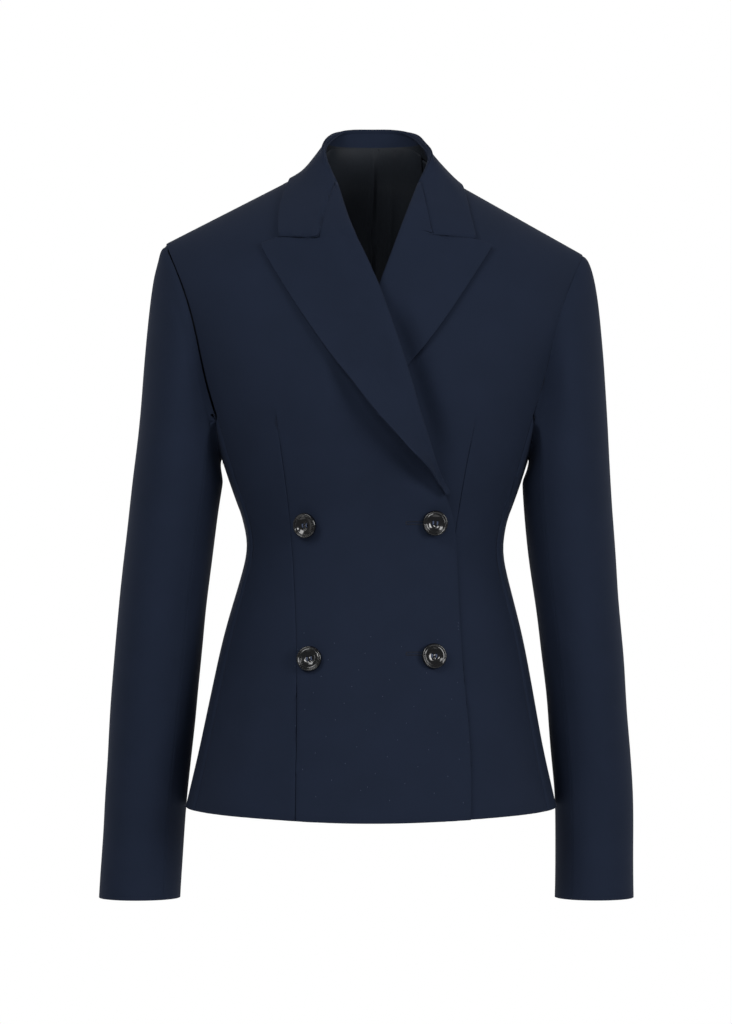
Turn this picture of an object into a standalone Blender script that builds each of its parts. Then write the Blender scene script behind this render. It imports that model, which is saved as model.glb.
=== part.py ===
"""A women's double breasted blazer, filled out as it is worn and held at the shoulders.

Metres, +Z up, the front faces -Y. The origin is the middle of the shoulders at the base of the neck.
Sides are named from the wearer: the wearer's right front is at -X and laps over the left one.
The tables below are in millimetres.
"""

import math

import bmesh
import bpy
import numpy as np
from mathutils import Matrix, Vector

MM = 0.001

# Cloth
WALL = 2.0  # wool with its interlining
COLLAR_WALL = 1.5
LINING_WALL = 1.0
SEAM_GAP = 0.3
LAY_GAP = 1.0  # between a piece and what it lies on

# Levels
HEM_Z = -588.0
HEM_DIP = 4.0  # the hem hangs lower at the centre front
UNDERARM_Z = -262.0
SIDE_SEAM_TOP_Z = -222.0

# Torso rings: half widths to the wearer's right and left, depths to the front and back
TORSO = np.array(
    [
        # z, right, left, front, back
        (-592, 175, 173, 130, 118),
        (-528, 159.8, 158.5, 123, 111),
        (-488, 151.6, 151, 116, 104),
        (-430, 138.5, 140.8, 107, 93),
        (-382, 125, 128.5, 101, 84),
        (-343, 114.3, 119.5, 99, 79),
        (-315, 121, 126.5, 102, 79),
        (-282, 133, 139, 110, 84),
        (-222, 152, 157.5, 120, 96),
        (-180, 168, 172, 119, 103),
        (-132, 186, 190, 109, 108),
        (-100, 197, 200, 97, 107),
        (-60, 209, 213, 83, 102),
        (-30, 214, 216, 69, 95),
        (0, 216, 218, 51, 84),
        (40, 217, 219, 20, 64),
    ]
)
RING_POWER = 2.3
SEAM_ANGLE_FRONT = 70.0  # degrees round the ring from the centre front
SEAM_ANGLE_BACK = 116.0
SHOULDER_ROLL = 90.0  # height over which the cloth rolls over the shoulder

# Shoulder seam: from the neck point down to the shoulder end
NECK_X = 62.0
SEAM_RUN = 130.0  # from the neck point out to where the shoulder seam meets the sleeve's middle
SHOULDER_END = {-1: (194.5, -57.5), 1: (199.0, -68.0)}
SHOULDER_NECK_Z = {-1: 10.5, 1: 9.5}
NECK_BACK = (60.0, 38.0)  # y, z at the centre back
NECK_SIDE_Y = 4.0

# How far the armhole edge lies inside the shoulder end, by height from the side seam's top to the shoulder
ARMHOLE = np.array(
    [
        # height share, inset at the front, inset at the back
        (0.0, 50.0, 56.0),
        (0.2, 39.5, 48.0),
        (0.38, 34.0, 42.0),
        (0.55, 28.0, 35.0),
        (0.7, 20.5, 27.0),
        (0.86, 10.0, 14.0),
        (1.0, 0.0, 0.0),
    ]
)

# Free edges of the two fronts: from the hem up the front edge, the roll line and the neckline
TOP_EDGE = np.array(
    [
        # z, x
        (-595, 89.5),
        (-520, 89.5),
        (-460, 83.5),
        (-391, 79.5),
        (-345, 77.5),
        (-318, 76.5),
        (-294, 67.5),
        (-270, 55.5),
        (-222, 40.5),
        (-184, 29.4),
        (-140, 14.9),
        (-100, 0),
        (-60, -16.9),
        (-40, -24.8),
        (-12, -39),
        (10.5, -62),
    ]
)
UNDER_EDGE = np.array(
    [
        # z, x
        (-595, -86),
        (-460, -80),
        (-345, -76),
        (-294, -68),
        (-222, -39.7),
        (-184, -23.7),
        (-102, 8.8),
        (-40, 31.8),
        (-12, 45.5),
        (9.5, 62),
    ]
)

# Long darts: from the bust point down to the hem
TOP_DART = np.array([(-595, -70), (-448, -69), (-390, -71), (-325, -75), (-276, -80.5), (-223, -88)])
UNDER_DART = np.array([(-595, 64), (-448, 65), (-390, 68), (-325, 77), (-276, 85), (-219, 96)])

# Lapels: each row runs from the roll line out to the lapel's edge
TOP_LAPEL = np.array(
    [
        # roll z, edge x, edge z
        (-291, 63.5, -292),
        (-262, 49.0, -266),
        (-225, 22.0, -237),
        (-192, -6.0, -208.5),
        (-162, -33.5, -175.5),
        (-134, -57.0, -141.5),
        (-112, -75.0, -114),
        (-94, -92.0, -84.5),
        (-78, -104.0, -63),
        (-66, -87.3, -58.2),
        (-56, -65.0, -56.8),
        (-42, -47.8, -55.5),
        (-4.8, -40.3, -24.0),
    ]
)
UNDER_LAPEL = np.array(
    [
        # roll z, edge x, edge z
        (-136, 17.0, -197),
        (-122, 39.0, -171),
        (-108, 58.0, -146),
        (-97, 74.0, -123.5),
        (-87, 90.0, -99),
        (-76, 110.0, -67),
        (-66, 95.3, -60.8),
        (-58, 73.0, -59.5),
        (-42, 55.2, -57.9),
        (-4.8, 48.6, -24.0),
    ]
)
TOP_ROLL = np.array(
    [
        (-294, 67.5),
        (-270, 55.5),
        (-222, 40.5),
        (-184, 29.4),
        (-140, 14.9),
        (-100, 0),
        (-60, -16.9),
        (-3, -34.6),
        (34, -46),
    ]
)
UNDER_ROLL = np.array([(-294, -68), (-222, -39.7), (-184, -23.7), (-102, 8.8), (-3, 45.4), (24, 56)])
ROLL_STAND = 12.0  # the roll line stands off the chest
ROLL_REACH = 42.0  # how far to each side
LAP_START = -98.0  # the top front starts to rise over the under front
LAP_RUN = 60.0
LAP_END_Z = -10.0  # and lies down again before the shoulder seam
LAPEL_LIFT = 15.0  # the top lapel's lower edge stands off the chest
LAPEL_BOW = 0.4

# Collar: stations from one gorge round the back to the other, wearer's left half
COLLAR = np.array(
    [
        # station, fold x, y, z, neck x, y, z, edge x, y, z, bulge
        (0.0, 46.5, -37, -2, 48, -37.5, -8.5, 95, -70, -60, 0),
        (1.0, 55.5, -12, 24, 59, -17, 8.5, 90.5, -48, -30, -1.5),
        (2.0, 48.5, 14, 38, 60, 8, 13, 86, -12, -4, -1.5),
        (3.0, 41, 38, 48.6, 50, 35.5, 28, 79, 30, 0, -1.0),
        (4.0, 26, 57, 55.2, 30, 52, 36.0, 52, 69, 1, 0),
        (5.0, 0, 63.5, 56.2, 0, 59, 38.6, 0, 83, 3, 0),
    ]
)
COLLAR_RIGHT_FOLD_X = np.array([-35.5, -45.0])  # the wearer's right side rolls nearer the centre
COLLAR_RIGHT_SHIFT = 4.0
COLLAR_RIGHT_CORNER = (-87.0, -57.7)
COLLAR_RIGHT_NARROW = 3.0  # at the shoulder
GORGE_BEND = {-1: (-48.3, -54.9), 1: (55.6, -57.2)}
FALL_COLUMNS = 7
GORGE_SHARE = 4 / FALL_COLUMNS

# Sleeves: rings from the biceps to the cuff
SLEEVE = {
    -1: np.array(
        [
            # z, centre x, half width, centre y, half depth
            (-286, -183.5, 43.0, 2, 60),
            (-315, -188.2, 42.4, 3, 59),
            (-374, -195.2, 42.0, 6, 57),
            (-443, -202.2, 42.0, 10, 54),
            (-504, -208.2, 41.2, 16, 51),
            (-566, -213.6, 39.8, 24, 48),
            (-615, -217.0, 38.8, 23, 46),
            (-677, -220.4, 39.0, 13, 44),
        ]
    ),
    1: np.array(
        [
            (-286, 183.6, 42.2, 2, 60),
            (-337, 187.0, 42.2, 5, 58),
            (-390, 193.4, 40.3, 8, 56),
            (-443, 199.1, 38.9, 12, 54),
            (-523, 206.6, 37.9, 20, 50),
            (-591, 211.4, 37.6, 25, 47),
            (-612, 211.2, 37.5, 24, 46),
            (-677, 210.8, 37.9, 15, 44),
        ]
    ),
}
CUFF_Z = -677.5
CUFF_RISE = 3.5  # the cuff is cut a little higher at the front
SLEEVE_HEAD = {-1: 51.0, 1: 56.0}  # how squarely the sleeve head leaves the shoulder
SLEEVE_SEAM_FRONT = 128.0  # degrees round the sleeve from its outer side
SLEEVE_SEAM_BACK = 236.0

# Buttons
BUTTON_DIAMETER = 23.0
BUTTON_THICKNESS = 3.6
BUTTON_HOLE = 1.9
BUTTON_HOLE_SPREAD = 2.3
BUTTON_STANDOFF = 1.6
BUTTONS = {
    # x, z, tilt sideways in degrees, tilt back in degrees
    "button_top_left": (56.5, -320.5, 0.0, 0.0),
    "button_top_right": (-60.8, -322.9, 12.0, 0.0),
    "button_low_left": (56.5, -441.0, 0.0, 0.0),
    "button_low_right": (-57.0, -444.0, 5.0, 0.0),
}

NAVY = (0.0116, 0.0166, 0.0302, 1.0)
LINING_NAVY = (0.0060, 0.0075, 0.0100, 1.0)
HORN_BLACK = (0.0100, 0.0110, 0.0150, 1.0)


SPLIT = 0.55  # share of a panel's rows that lies below the side seam's top
BACK_NECK = 0.782  # share across the back where the shoulder seam meets the neck
LOW_ROWS = 12
HIGH_ROWS = 11


# ---------------------------------------------------------------- smooth curves through the tables


def through(table, z, column=1):
    """The smooth curve through a table's rows, read at z: Hermite spans with finite-difference slopes."""
    keys, values = table[:, 0], table[:, column]
    z = min(max(z, keys[0]), keys[-1])
    i = int(min(max(np.searchsorted(keys, z) - 1, 0), len(keys) - 2))
    slopes = [
        (values[min(k + 1, len(keys) - 1)] - values[max(k - 1, 0)])
        / (keys[min(k + 1, len(keys) - 1)] - keys[max(k - 1, 0)])
        for k in (i, i + 1)
    ]
    span = keys[i + 1] - keys[i]
    t = (z - keys[i]) / span
    return (
        values[i] * (1 + 2 * t) * (1 - t) ** 2
        + values[i + 1] * t * t * (3 - 2 * t)
        + span * (slopes[0] * t * (1 - t) ** 2 - slopes[1] * t * t * (1 - t))
    )


def smooth(t):
    t = min(max(t, 0.0), 1.0)
    return t * t * (3 - 2 * t)


def mix(a, b, t):
    return a + (b - a) * t


# ---------------------------------------------------------------- the torso's surface


def half_width(z, side):
    return through(TORSO, z, 1 if side < 0 else 2)


def shoulder_z(x):
    """Height of the shoulder line at x."""
    side = -1 if x < 0 else 1
    end_x, end_z = SHOULDER_END[side]
    slope = (SHOULDER_NECK_Z[side] - end_z) / (end_x - NECK_X)
    return end_z + slope * (end_x - abs(x))


def shoulder_seam_y(x):
    return mix(NECK_SIDE_Y, 0.0, (abs(x) - NECK_X) / SEAM_RUN)


def neck_rise(x):
    """How far the back's neck seam has risen at x, from 0 at the shoulder seam to 1 at the centre back."""
    return math.sqrt(max(0.0, 1 - (x / NECK_X) ** 2))


def neck_top(x):
    """(y, z) of the back's upper edge at x: the shoulder seam, then the neck seam."""
    if abs(x) >= NECK_X:
        return shoulder_seam_y(x), shoulder_z(x)
    side = -1 if x < 0 else 1
    rise = neck_rise(x)
    return mix(NECK_SIDE_Y, NECK_BACK[0], rise), mix(SHOULDER_NECK_Z[side], NECK_BACK[1], rise)


def roll_over(drop):
    share = min(max(drop / SHOULDER_ROLL, 0.0), 1.0)
    return math.sqrt(max(0.0, 1 - (1 - share) ** 2))


def ring_depth(x, z, column):
    share = min(abs(x) / half_width(z, x), 1.0)
    return through(TORSO, z, column) * (1 - share**RING_POWER) ** (1 / RING_POWER)


def front_y(x, z):
    return mix(shoulder_seam_y(x), -ring_depth(x, z, 3), roll_over(shoulder_z(x) - z))


def back_y(x, z):
    top_y, top_z = neck_top(x)
    share = min(max((top_z - z) / SHOULDER_ROLL, 0.0), 1.0)
    upright = 1 - (1 - share) ** 2
    return mix(top_y, ring_depth(x, z, 4), mix(roll_over(top_z - z), upright, neck_rise(x)))


def off_torso(x, z, out, at_back=False):
    """A point moved out from the torso's front or back."""
    step = 1.0
    depth = back_y if at_back else front_y
    slope_x = (depth(x + step, z) - depth(x - step, z)) / (2 * step)
    slope_z = (depth(x, z + step) - depth(x, z - step)) / (2 * step)
    normal = Vector((-slope_x, 1, -slope_z)) if at_back else Vector((slope_x, -1, slope_z))
    return Vector((x, depth(x, z), z)) + normal.normalized() * out


def ring_point(angle, z):
    """A point on the torso by its angle from the centre front, positive to the wearer's left."""
    turn = math.radians(angle)
    x = math.copysign(abs(math.sin(turn)) ** (2 / RING_POWER), turn) * half_width(z, turn)
    return x, (front_y(x, z) if abs(angle) <= 90 else back_y(x, z))


def seam_x(z, side, angle):
    """Distance of a side body's seam from the middle."""
    return abs(ring_point(side * angle, z)[0])


def hem_z(x):
    return HEM_Z - HEM_DIP * (1 - smooth(abs(x) / 170.0))


def armhole_edge(share, side, column):
    """(x, z) of the armhole's front or back edge; share runs from the side seam's top to the shoulder end."""
    end_x, end_z = SHOULDER_END[side]
    angle = SEAM_ANGLE_FRONT if column == 1 else SEAM_ANGLE_BACK
    start = seam_x(SIDE_SEAM_TOP_Z, side, angle)
    inset = through(ARMHOLE, share, column) / ARMHOLE[0, column] * (end_x - start)
    return side * (end_x - inset), mix(SIDE_SEAM_TOP_Z, end_z, share)


# ---------------------------------------------------------------- walls of cloth


def material(name, colour, roughness):
    made = bpy.data.materials.new(name)
    made.use_nodes = True
    shader = made.node_tree.nodes["Principled BSDF"]
    shader.inputs["Base Color"].default_value = colour
    shader.inputs["Roughness"].default_value = roughness
    shader.inputs["Metallic"].default_value = 0.0
    return made


def mesh_object(name, points, faces, look):
    mesh = bpy.data.meshes.new(name)
    mesh.from_pydata([Vector(p) * MM for p in points], [], faces)
    bm = bmesh.new()
    bm.from_mesh(mesh)
    if bm.calc_volume(signed=True) < 0:
        bmesh.ops.reverse_faces(bm, faces=bm.faces)
    bm.to_mesh(mesh)
    bm.free()
    mesh.shade_smooth()
    mesh.set_sharp_from_angle(angle=math.radians(40))
    mesh.materials.append(material(name + "_cloth", *look))
    made = bpy.data.objects.new(name, mesh)
    bpy.context.scene.collection.objects.link(made)
    return made


def cloth(name, surface, rows, columns, outward, thickness=WALL, look=(NAVY, 0.85), slit=None, rim=0.0):
    """A wall of cloth: surface(row, column) gives its outer face, for shares of 0 to 1 up and across.

    outward is 1 or -1, the side of the surface that faces out. slit is (column, share of the rows, gap):
    a dart's cut, from the first row up. At the last row and column the wall stands as it does the
    share rim before them, for a corner where they run on in one line.
    """
    step = 1e-3
    outer, inner, index = [], [], {}
    for i, v in enumerate(rows):
        for j, u in enumerate(columns):
            here = Vector(surface(v, u))
            row, column = min(v, 1 - rim), min(u, 1 - rim)
            up = Vector(surface(min(row + step, 1), column)) - Vector(surface(max(row - step, 0), column))
            across = Vector(surface(row, min(column + step, 1))) - Vector(surface(row, max(column - step, 0)))
            normal = up.cross(across).normalized() * outward
            cuts = (0.0,)
            if slit and j == slit[0] and v < slit[1]:
                cuts = (-0.5, 0.5)
            for side, cut in enumerate(cuts):
                shift = across.normalized() * (cut * slit[2]) if slit else Vector()
                outer.append(here + shift)
                inner.append(here + shift - normal * thickness)
                index[i, j, side] = len(outer) - 1
            if len(cuts) == 1:
                index[i, j, 1] = index[i, j, 0]
    faces, edges = [], {}
    for i in range(len(rows) - 1):
        for j in range(len(columns) - 1):
            ring = (index[i, j, 1], index[i, j + 1, 0], index[i + 1, j + 1, 0], index[i + 1, j, 1])
            faces.append(ring)
            for a, b in zip(ring, ring[1:] + ring[:1]):
                edges[a, b] = edges.get((a, b), 0) + 1
    count = len(outer)
    walls = [tuple(reversed([p + count for p in ring])) for ring in faces]
    rims = [(b, a, a + count, b + count) for a, b in edges if (b, a) not in edges]
    return mesh_object(name, outer + inner, faces + walls + rims, look)


def spread(count, start=0.0, end=1.0):
    return [mix(start, end, k / count) for k in range(count + 1)]


# ---------------------------------------------------------------- fronts, side bodies and back


def lap(x):
    """How far the top front is lifted over the under front."""
    return (WALL + LAY_GAP) * smooth((x - LAP_START) / LAP_RUN)


def roll_lift(x, z, roll):
    """The roll line stands off the chest."""
    reach = math.exp(-(((x - through(roll, z)) / ROLL_REACH) ** 2))
    above_waist, below_neck = smooth((z + 350) / 110.0), smooth((-18 - z) / 60.0)
    return ROLL_STAND * reach * above_waist * below_neck


def panel_point(v, u, side, edge, split):
    """(x, z) on a front: u runs from the side seam and armhole to the free edge, v from the hem up."""
    base_l = side * seam_x(SIDE_SEAM_TOP_Z, side, SEAM_ANGLE_FRONT)
    base_r = through(edge, SIDE_SEAM_TOP_Z)
    if v <= split:
        low = v / split
        z = mix(HEM_Z, SIDE_SEAM_TOP_Z, low)
        angle_r = ring_angle(through(edge, z), z)
        x = ring_point(mix(side * SEAM_ANGLE_FRONT, angle_r, u), z)[0]
        dip = (hem_z(x) - HEM_Z) * (1 - low) ** 6
        return x, z + dip
    high = 1 - (1 - (v - split) / (1 - split)) ** 2
    angle = mix(side * SEAM_ANGLE_FRONT, ring_angle(base_r, SIDE_SEAM_TOP_Z), u)
    warp = (ring_point(angle, SIDE_SEAM_TOP_Z)[0] - base_l) / (base_r - base_l)
    arm_x, arm_z = armhole_edge(high, side, 1)
    neck_z = mix(SIDE_SEAM_TOP_Z, edge[-1, 0], high)
    return mix(arm_x, through(edge, neck_z), warp), mix(arm_z, neck_z, warp)


def ring_angle(x, z):
    share = min(abs(x) / half_width(z, x), 1.0)
    return math.copysign(math.degrees(math.asin(share ** (RING_POWER / 2))), x)


def front(name, side, edge, dart, lift):
    inset = SEAM_GAP / 2

    def surface(v, u):
        x, z = panel_point(v, u, side, edge, SPLIT)
        out = lift(x, z)
        y = front_y(x, z) - out - inset * smooth((v - 0.97) / 0.03)
        return x - side * inset * (1 - u), y, z

    columns = spread(16)
    places = [dart_place(dart, side, edge, v) for v in spread(12, 0, SPLIT)]
    middle = sum(places) / len(places)
    slit_column = min(range(len(columns)), key=lambda k: abs(columns[k] - middle))

    def with_dart(v, u):
        """Columns lean so that one of them follows the dart."""
        at = columns[slit_column]
        wanted = dart_place(dart, side, edge, min(v, SPLIT))
        fade = 1 - smooth((v - SPLIT) / 0.2)
        place = mix(at, wanted, fade)
        warped = u * place / at if u <= at else 1 - (1 - u) * (1 - place) / (1 - at)
        return surface(v, warped)

    rows = panel_rows()
    tip = SPLIT * (dart[-1, 0] - HEM_Z) / (SIDE_SEAM_TOP_Z - HEM_Z)
    return cloth(name, with_dart, rows, columns, side, slit=(slit_column, tip - 0.01, SEAM_GAP))


def panel_rows():
    return spread(LOW_ROWS, 0, SPLIT) + spread(HIGH_ROWS, SPLIT, 1)[1:]


def dart_place(dart, side, edge, v):
    """The share across a front at which the dart lies, at height v."""
    z = mix(HEM_Z, SIDE_SEAM_TOP_Z, v / SPLIT)
    start = side * SEAM_ANGLE_FRONT
    end = ring_angle(through(edge, z), z)
    return (ring_angle(through(dart, z), z) - start) / (end - start)


def top_lift(x, z):
    return lap(x) * smooth((LAP_END_Z - z) / LAP_RUN) + roll_lift(x, z, TOP_ROLL)


def under_lift(x, z):
    return lap(x) - WALL - LAY_GAP


def side_body(name, side):
    gap = math.degrees(SEAM_GAP / 2 / 150)

    def surface(v, u):
        angle = mix(SEAM_ANGLE_FRONT + gap, SEAM_ANGLE_BACK - gap, u)
        middle = mix(SEAM_ANGLE_FRONT, SEAM_ANGLE_BACK, 0.45)
        half = middle - SEAM_ANGLE_FRONT if angle < middle else SEAM_ANGLE_BACK - middle
        top = UNDERARM_Z + (SIDE_SEAM_TOP_Z - UNDERARM_Z) * ((angle - middle) / half) ** 2
        z = mix(HEM_Z, top, v)
        x, y = ring_point(side * angle, z)
        return x, y, z

    return cloth(name, surface, spread(LOW_ROWS), spread(8), side)


def back(name, side):
    inset = SEAM_GAP / 2

    def surface(v, u):
        if v <= SPLIT:
            z = mix(HEM_Z, SIDE_SEAM_TOP_Z, v / SPLIT)
            x = ring_point(side * mix(SEAM_ANGLE_BACK, 180, u), z)[0]
        else:
            high = 1 - (1 - (v - SPLIT) / (1 - SPLIT)) ** 2
            base = side * seam_x(SIDE_SEAM_TOP_Z, side, SEAM_ANGLE_BACK)
            angle = side * mix(SEAM_ANGLE_BACK, 180, u)
            warp = 1 - ring_point(angle, SIDE_SEAM_TOP_Z)[0] / base
            x = mix(armhole_edge(high, side, 2)[0], 0, warp)
            top_x = mix(side * SHOULDER_END[side][0], 0, warp)
            z = mix(SIDE_SEAM_TOP_Z, neck_top(top_x)[1], high)
        y = back_y(x, z)
        return x + side * inset * (2 * u - 1), y + inset * smooth((v - 0.97) / 0.03), z

    return cloth(name, surface, panel_rows(), spread(6, 0, BACK_NECK) + [0.83, 0.869, 0.924, 1.0], -side)


def build_body():
    front("front_right", -1, TOP_EDGE, TOP_DART, top_lift)
    front("front_left", 1, UNDER_EDGE, UNDER_DART, under_lift)
    for word, side in (("right", -1), ("left", 1)):
        side_body("side_" + word, side)
        back("back_" + word, side)


# ---------------------------------------------------------------- lapels


FOLD_OUT = WALL + 0.8  # the folded cloth round the front's free edge


def fold_path(u, wrap):
    """Where a lapel's face lies while it turns round the front's edge: (past the edge, out of the front)."""
    turn = math.pi * u / wrap
    middle = -WALL / 2
    half = WALL / 2 + LAY_GAP + WALL
    return FOLD_OUT * math.sin(turn), middle - half * math.cos(turn)


FOLD_SHARE = 0.2  # share of a lapel's columns that turns round the front's edge


def lapel_surface(roll, table, edge_lift, lift):
    """The lapel's outer face: v runs up its rows, u from the turned-in edge round the fold outwards."""
    count = len(table) - 1
    stations = np.column_stack([np.arange(count + 1), table])

    def on_front(x, z, out):
        return off_torso(x, z, out + lift(x, z))

    def surface(v, u):
        at = v * count
        roll_z = through(stations, at, 1)
        edge_x = np.interp(at, stations[:, 0], stations[:, 2])
        edge_z = np.interp(at, stations[:, 0], stations[:, 3])
        roll_x = through(roll, roll_z)
        if u < FOLD_SHARE:
            step = 3.0
            rise = through(roll, roll_z + step) - through(roll, roll_z - step)
            along = Vector((rise, 2 * step)).normalized()
            side = math.copysign(1.0, roll_x - edge_x)
            past, out = fold_path(u, FOLD_SHARE)
            return on_front(roll_x + side * along.y * past, roll_z - side * along.x * past, out)
        share = (u - FOLD_SHARE) / (1 - FOLD_SHARE)
        x, z = mix(roll_x, edge_x, share), mix(roll_z, edge_z, share)
        bow = math.sin(math.pi * share) * LAPEL_BOW
        return on_front(x, z, LAY_GAP + WALL + bow + edge_lift(v) * share**2)

    return surface


def top_edge_lift(v):
    return 1.0 + LAPEL_LIFT * smooth(v / 0.12) * (1 - smooth((v - 0.25) / 0.35))


def under_edge_lift(v):
    return 1.0


LAPELS = {
    # surface, rows, the rows at the gorge's bend and at the notch's outer end
    -1: (lapel_surface(TOP_ROLL, TOP_LAPEL, top_edge_lift, top_lift), len(TOP_LAPEL), 11, 9),
    1: (lapel_surface(UNDER_ROLL, UNDER_LAPEL, under_edge_lift, under_lift), len(UNDER_LAPEL), 8, 6),
}


def build_lapels():
    for word, side in (("right", -1), ("left", 1)):
        surface, count, _, _ = LAPELS[side]
        columns = spread(4, 0, FOLD_SHARE) + spread(6, FOLD_SHARE, 1)[1:]
        cloth("lapel_" + word, surface, spread(2 * (count - 1)), columns, -side, rim=0.02)


def gorge(side):
    """The lapel's upper border by the collar leaf's share: to the gorge's bend, then the notch."""
    surface, count, bend_row, notch_row = LAPELS[side]
    rows = count - 1
    above = [surface(1.0, mix(FOLD_SHARE, 1, k / 12)) for k in range(13)]
    above += [surface(mix(rows, bend_row, k / 8) / rows, 1.0) for k in range(1, 9)]
    below = [surface(mix(bend_row, notch_row, k / 12) / rows, 1.0) for k in range(13)]

    def along(line, share):
        steps = [0.0]
        for a, b in zip(line, line[1:]):
            steps.append(steps[-1] + (b - a).length)
        return Vector([np.interp(share * steps[-1], steps, [p[k] for p in line]) for k in range(3)])

    def border(share):
        if share < GORGE_SHARE:
            return along(above, share / GORGE_SHARE)
        return along(below, (share - GORGE_SHARE) / (1 - GORGE_SHARE))

    return border


# ---------------------------------------------------------------- collar


def clear_of_torso(point, out):
    """The point, moved off the torso's front or back where it is nearer than out."""
    for _ in range(3):
        x, y, z = point
        at_back = y > NECK_SIDE_Y
        if z >= (neck_top(x)[1] if at_back else shoulder_z(x)) - 0.5:
            continue
        base = off_torso(x, z, 0, at_back)
        normal = off_torso(x, z, 1, at_back) - base
        short = out - (point - base).dot(normal)
        if short > 0:
            point = point + normal * short
    return point


def clear_of_shoulder(point, out):
    """The point, raised off the top of the shoulder."""
    x, y, z = point
    at_back = y > NECK_SIDE_Y
    depth = back_y if at_back else front_y
    low, high = shoulder_z(x) - SHOULDER_ROLL, shoulder_z(x)
    for _ in range(12):
        middle = (low + high) / 2
        if (depth(x, middle) > y) == at_back:
            low = middle
        else:
            high = middle
    step = 2.0
    fall = (depth(x, low - step) - depth(x, low)) / step
    return Vector((x, y, max(z, low + out * math.sqrt(1 + min(1 / max(abs(fall), 0.3), 3.0) ** 2))))


def collar_stations():
    """All the collar's stations, from the wearer's right gorge round the back to the left one."""
    left = COLLAR.copy()
    right = COLLAR[:-1].copy()
    right[:, [1, 4, 7]] *= -1
    right[2:4, [1, 4, 7]] += COLLAR_RIGHT_SHIFT
    right[:2, 4] += COLLAR_RIGHT_FOLD_X - right[:2, 1]
    right[:2, 1] = COLLAR_RIGHT_FOLD_X
    right[0, 7], right[0, 9] = COLLAR_RIGHT_CORNER
    right[2, 7] += COLLAR_RIGHT_NARROW
    rows = np.vstack([right, left[::-1]])
    rows[:, 0] = range(len(rows))
    return rows


STAND_SHARE = 0.25  # share of the collar's columns from the neck seam up to the fold
FALL_SHARE = 0.45  # and where its fall starts
FOLD_CORE = 0.3  # half the space inside the fold
GORGE_FOLD_CORE = 0.9  # added to it near the gorge
GORGE_REACH = 0.8  # stations over which the collar runs into the shape of the lapel's fold and border
GORGE_GAP = 1.25  # between the collar and the lapel where they are sewn
GORGE_STAND = Vector((0, 2.0, -5.0))  # from the fold down the stand's short end


def collar_fold(u, top, neck, edge, half):
    """The stand's inner face up to the fold, and round it to the fall."""
    down = (neck - top).normalized()
    fall = (edge - top).normalized()
    normal = down.cross(fall).normalized()
    inward = down.cross(normal)
    inward *= -1 if inward.dot(fall) > 0 else 1
    outward = fall.cross(normal)
    outward *= -1 if outward.dot(down) > 0 else 1
    if u <= STAND_SHARE:
        return mix(neck, top, u / STAND_SHARE) + inward * half, outward
    turn = math.pi * min((u - STAND_SHARE) / (FALL_SHARE - STAND_SHARE), 1)
    crest = -(down + fall).normalized()
    side = (inward - outward).normalized()
    return top + (side * math.cos(turn) + crest * math.sin(turn)) * half, outward


def collar_point(stations, v, u):
    """The collar's outer face: v runs round the neck, u from the neck seam over the fold outwards."""
    last = len(stations) - 1
    at = v * last
    row = [through(stations, at, k) for k in range(1, 11)]
    top, neck, edge = Vector(row[0:3]), Vector(row[3:6]), Vector(row[6:9])
    near_gorge = 1 - smooth(min(at, last - at) / 1.5)
    half = COLLAR_WALL + FOLD_CORE + GORGE_FOLD_CORE * near_gorge
    folded, outward = collar_fold(u, top, neck, edge, half)
    if u < FALL_SHARE:
        return folded
    share = (u - FALL_SHARE) / (1 - FALL_SHARE)
    point = mix(top, edge, share)
    bend_side = -1 if v < 0.5 else 1
    bend = Vector((GORGE_BEND[bend_side][0], point.y, GORGE_BEND[bend_side][1]))
    if share < GORGE_SHARE:
        corner = mix(top, bend, share / GORGE_SHARE)
    else:
        corner = mix(bend, edge, (share - GORGE_SHARE) / (1 - GORGE_SHARE))
    bent = 1 - smooth(min(at, last - at) / 1.0)
    flat = Vector((mix(point.x, corner.x, bent), point.y, mix(point.z, corner.z, bent)))
    lifted = flat + outward * (half * (1 - share) + row[9] * math.sin(math.pi * share))
    lift = top_lift if flat.x < 0 else under_lift
    laid = off_torso(flat.x, flat.z, WALL + LAY_GAP + lift(flat.x, flat.z) + share)
    point = mix(lifted, laid, bent * smooth(share / 0.3))
    out = COLLAR_WALL + LAY_GAP + mix(1.2, 1.0, near_gorge)
    if point.x < 0 and point.y < 0:
        out += top_lift(point.x, point.z)
    if -20 < top.y < 45:
        return clear_of_shoulder(point, out) if abs(point.x) > NECK_X - 2 else point
    return clear_of_torso(point, out)


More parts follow.
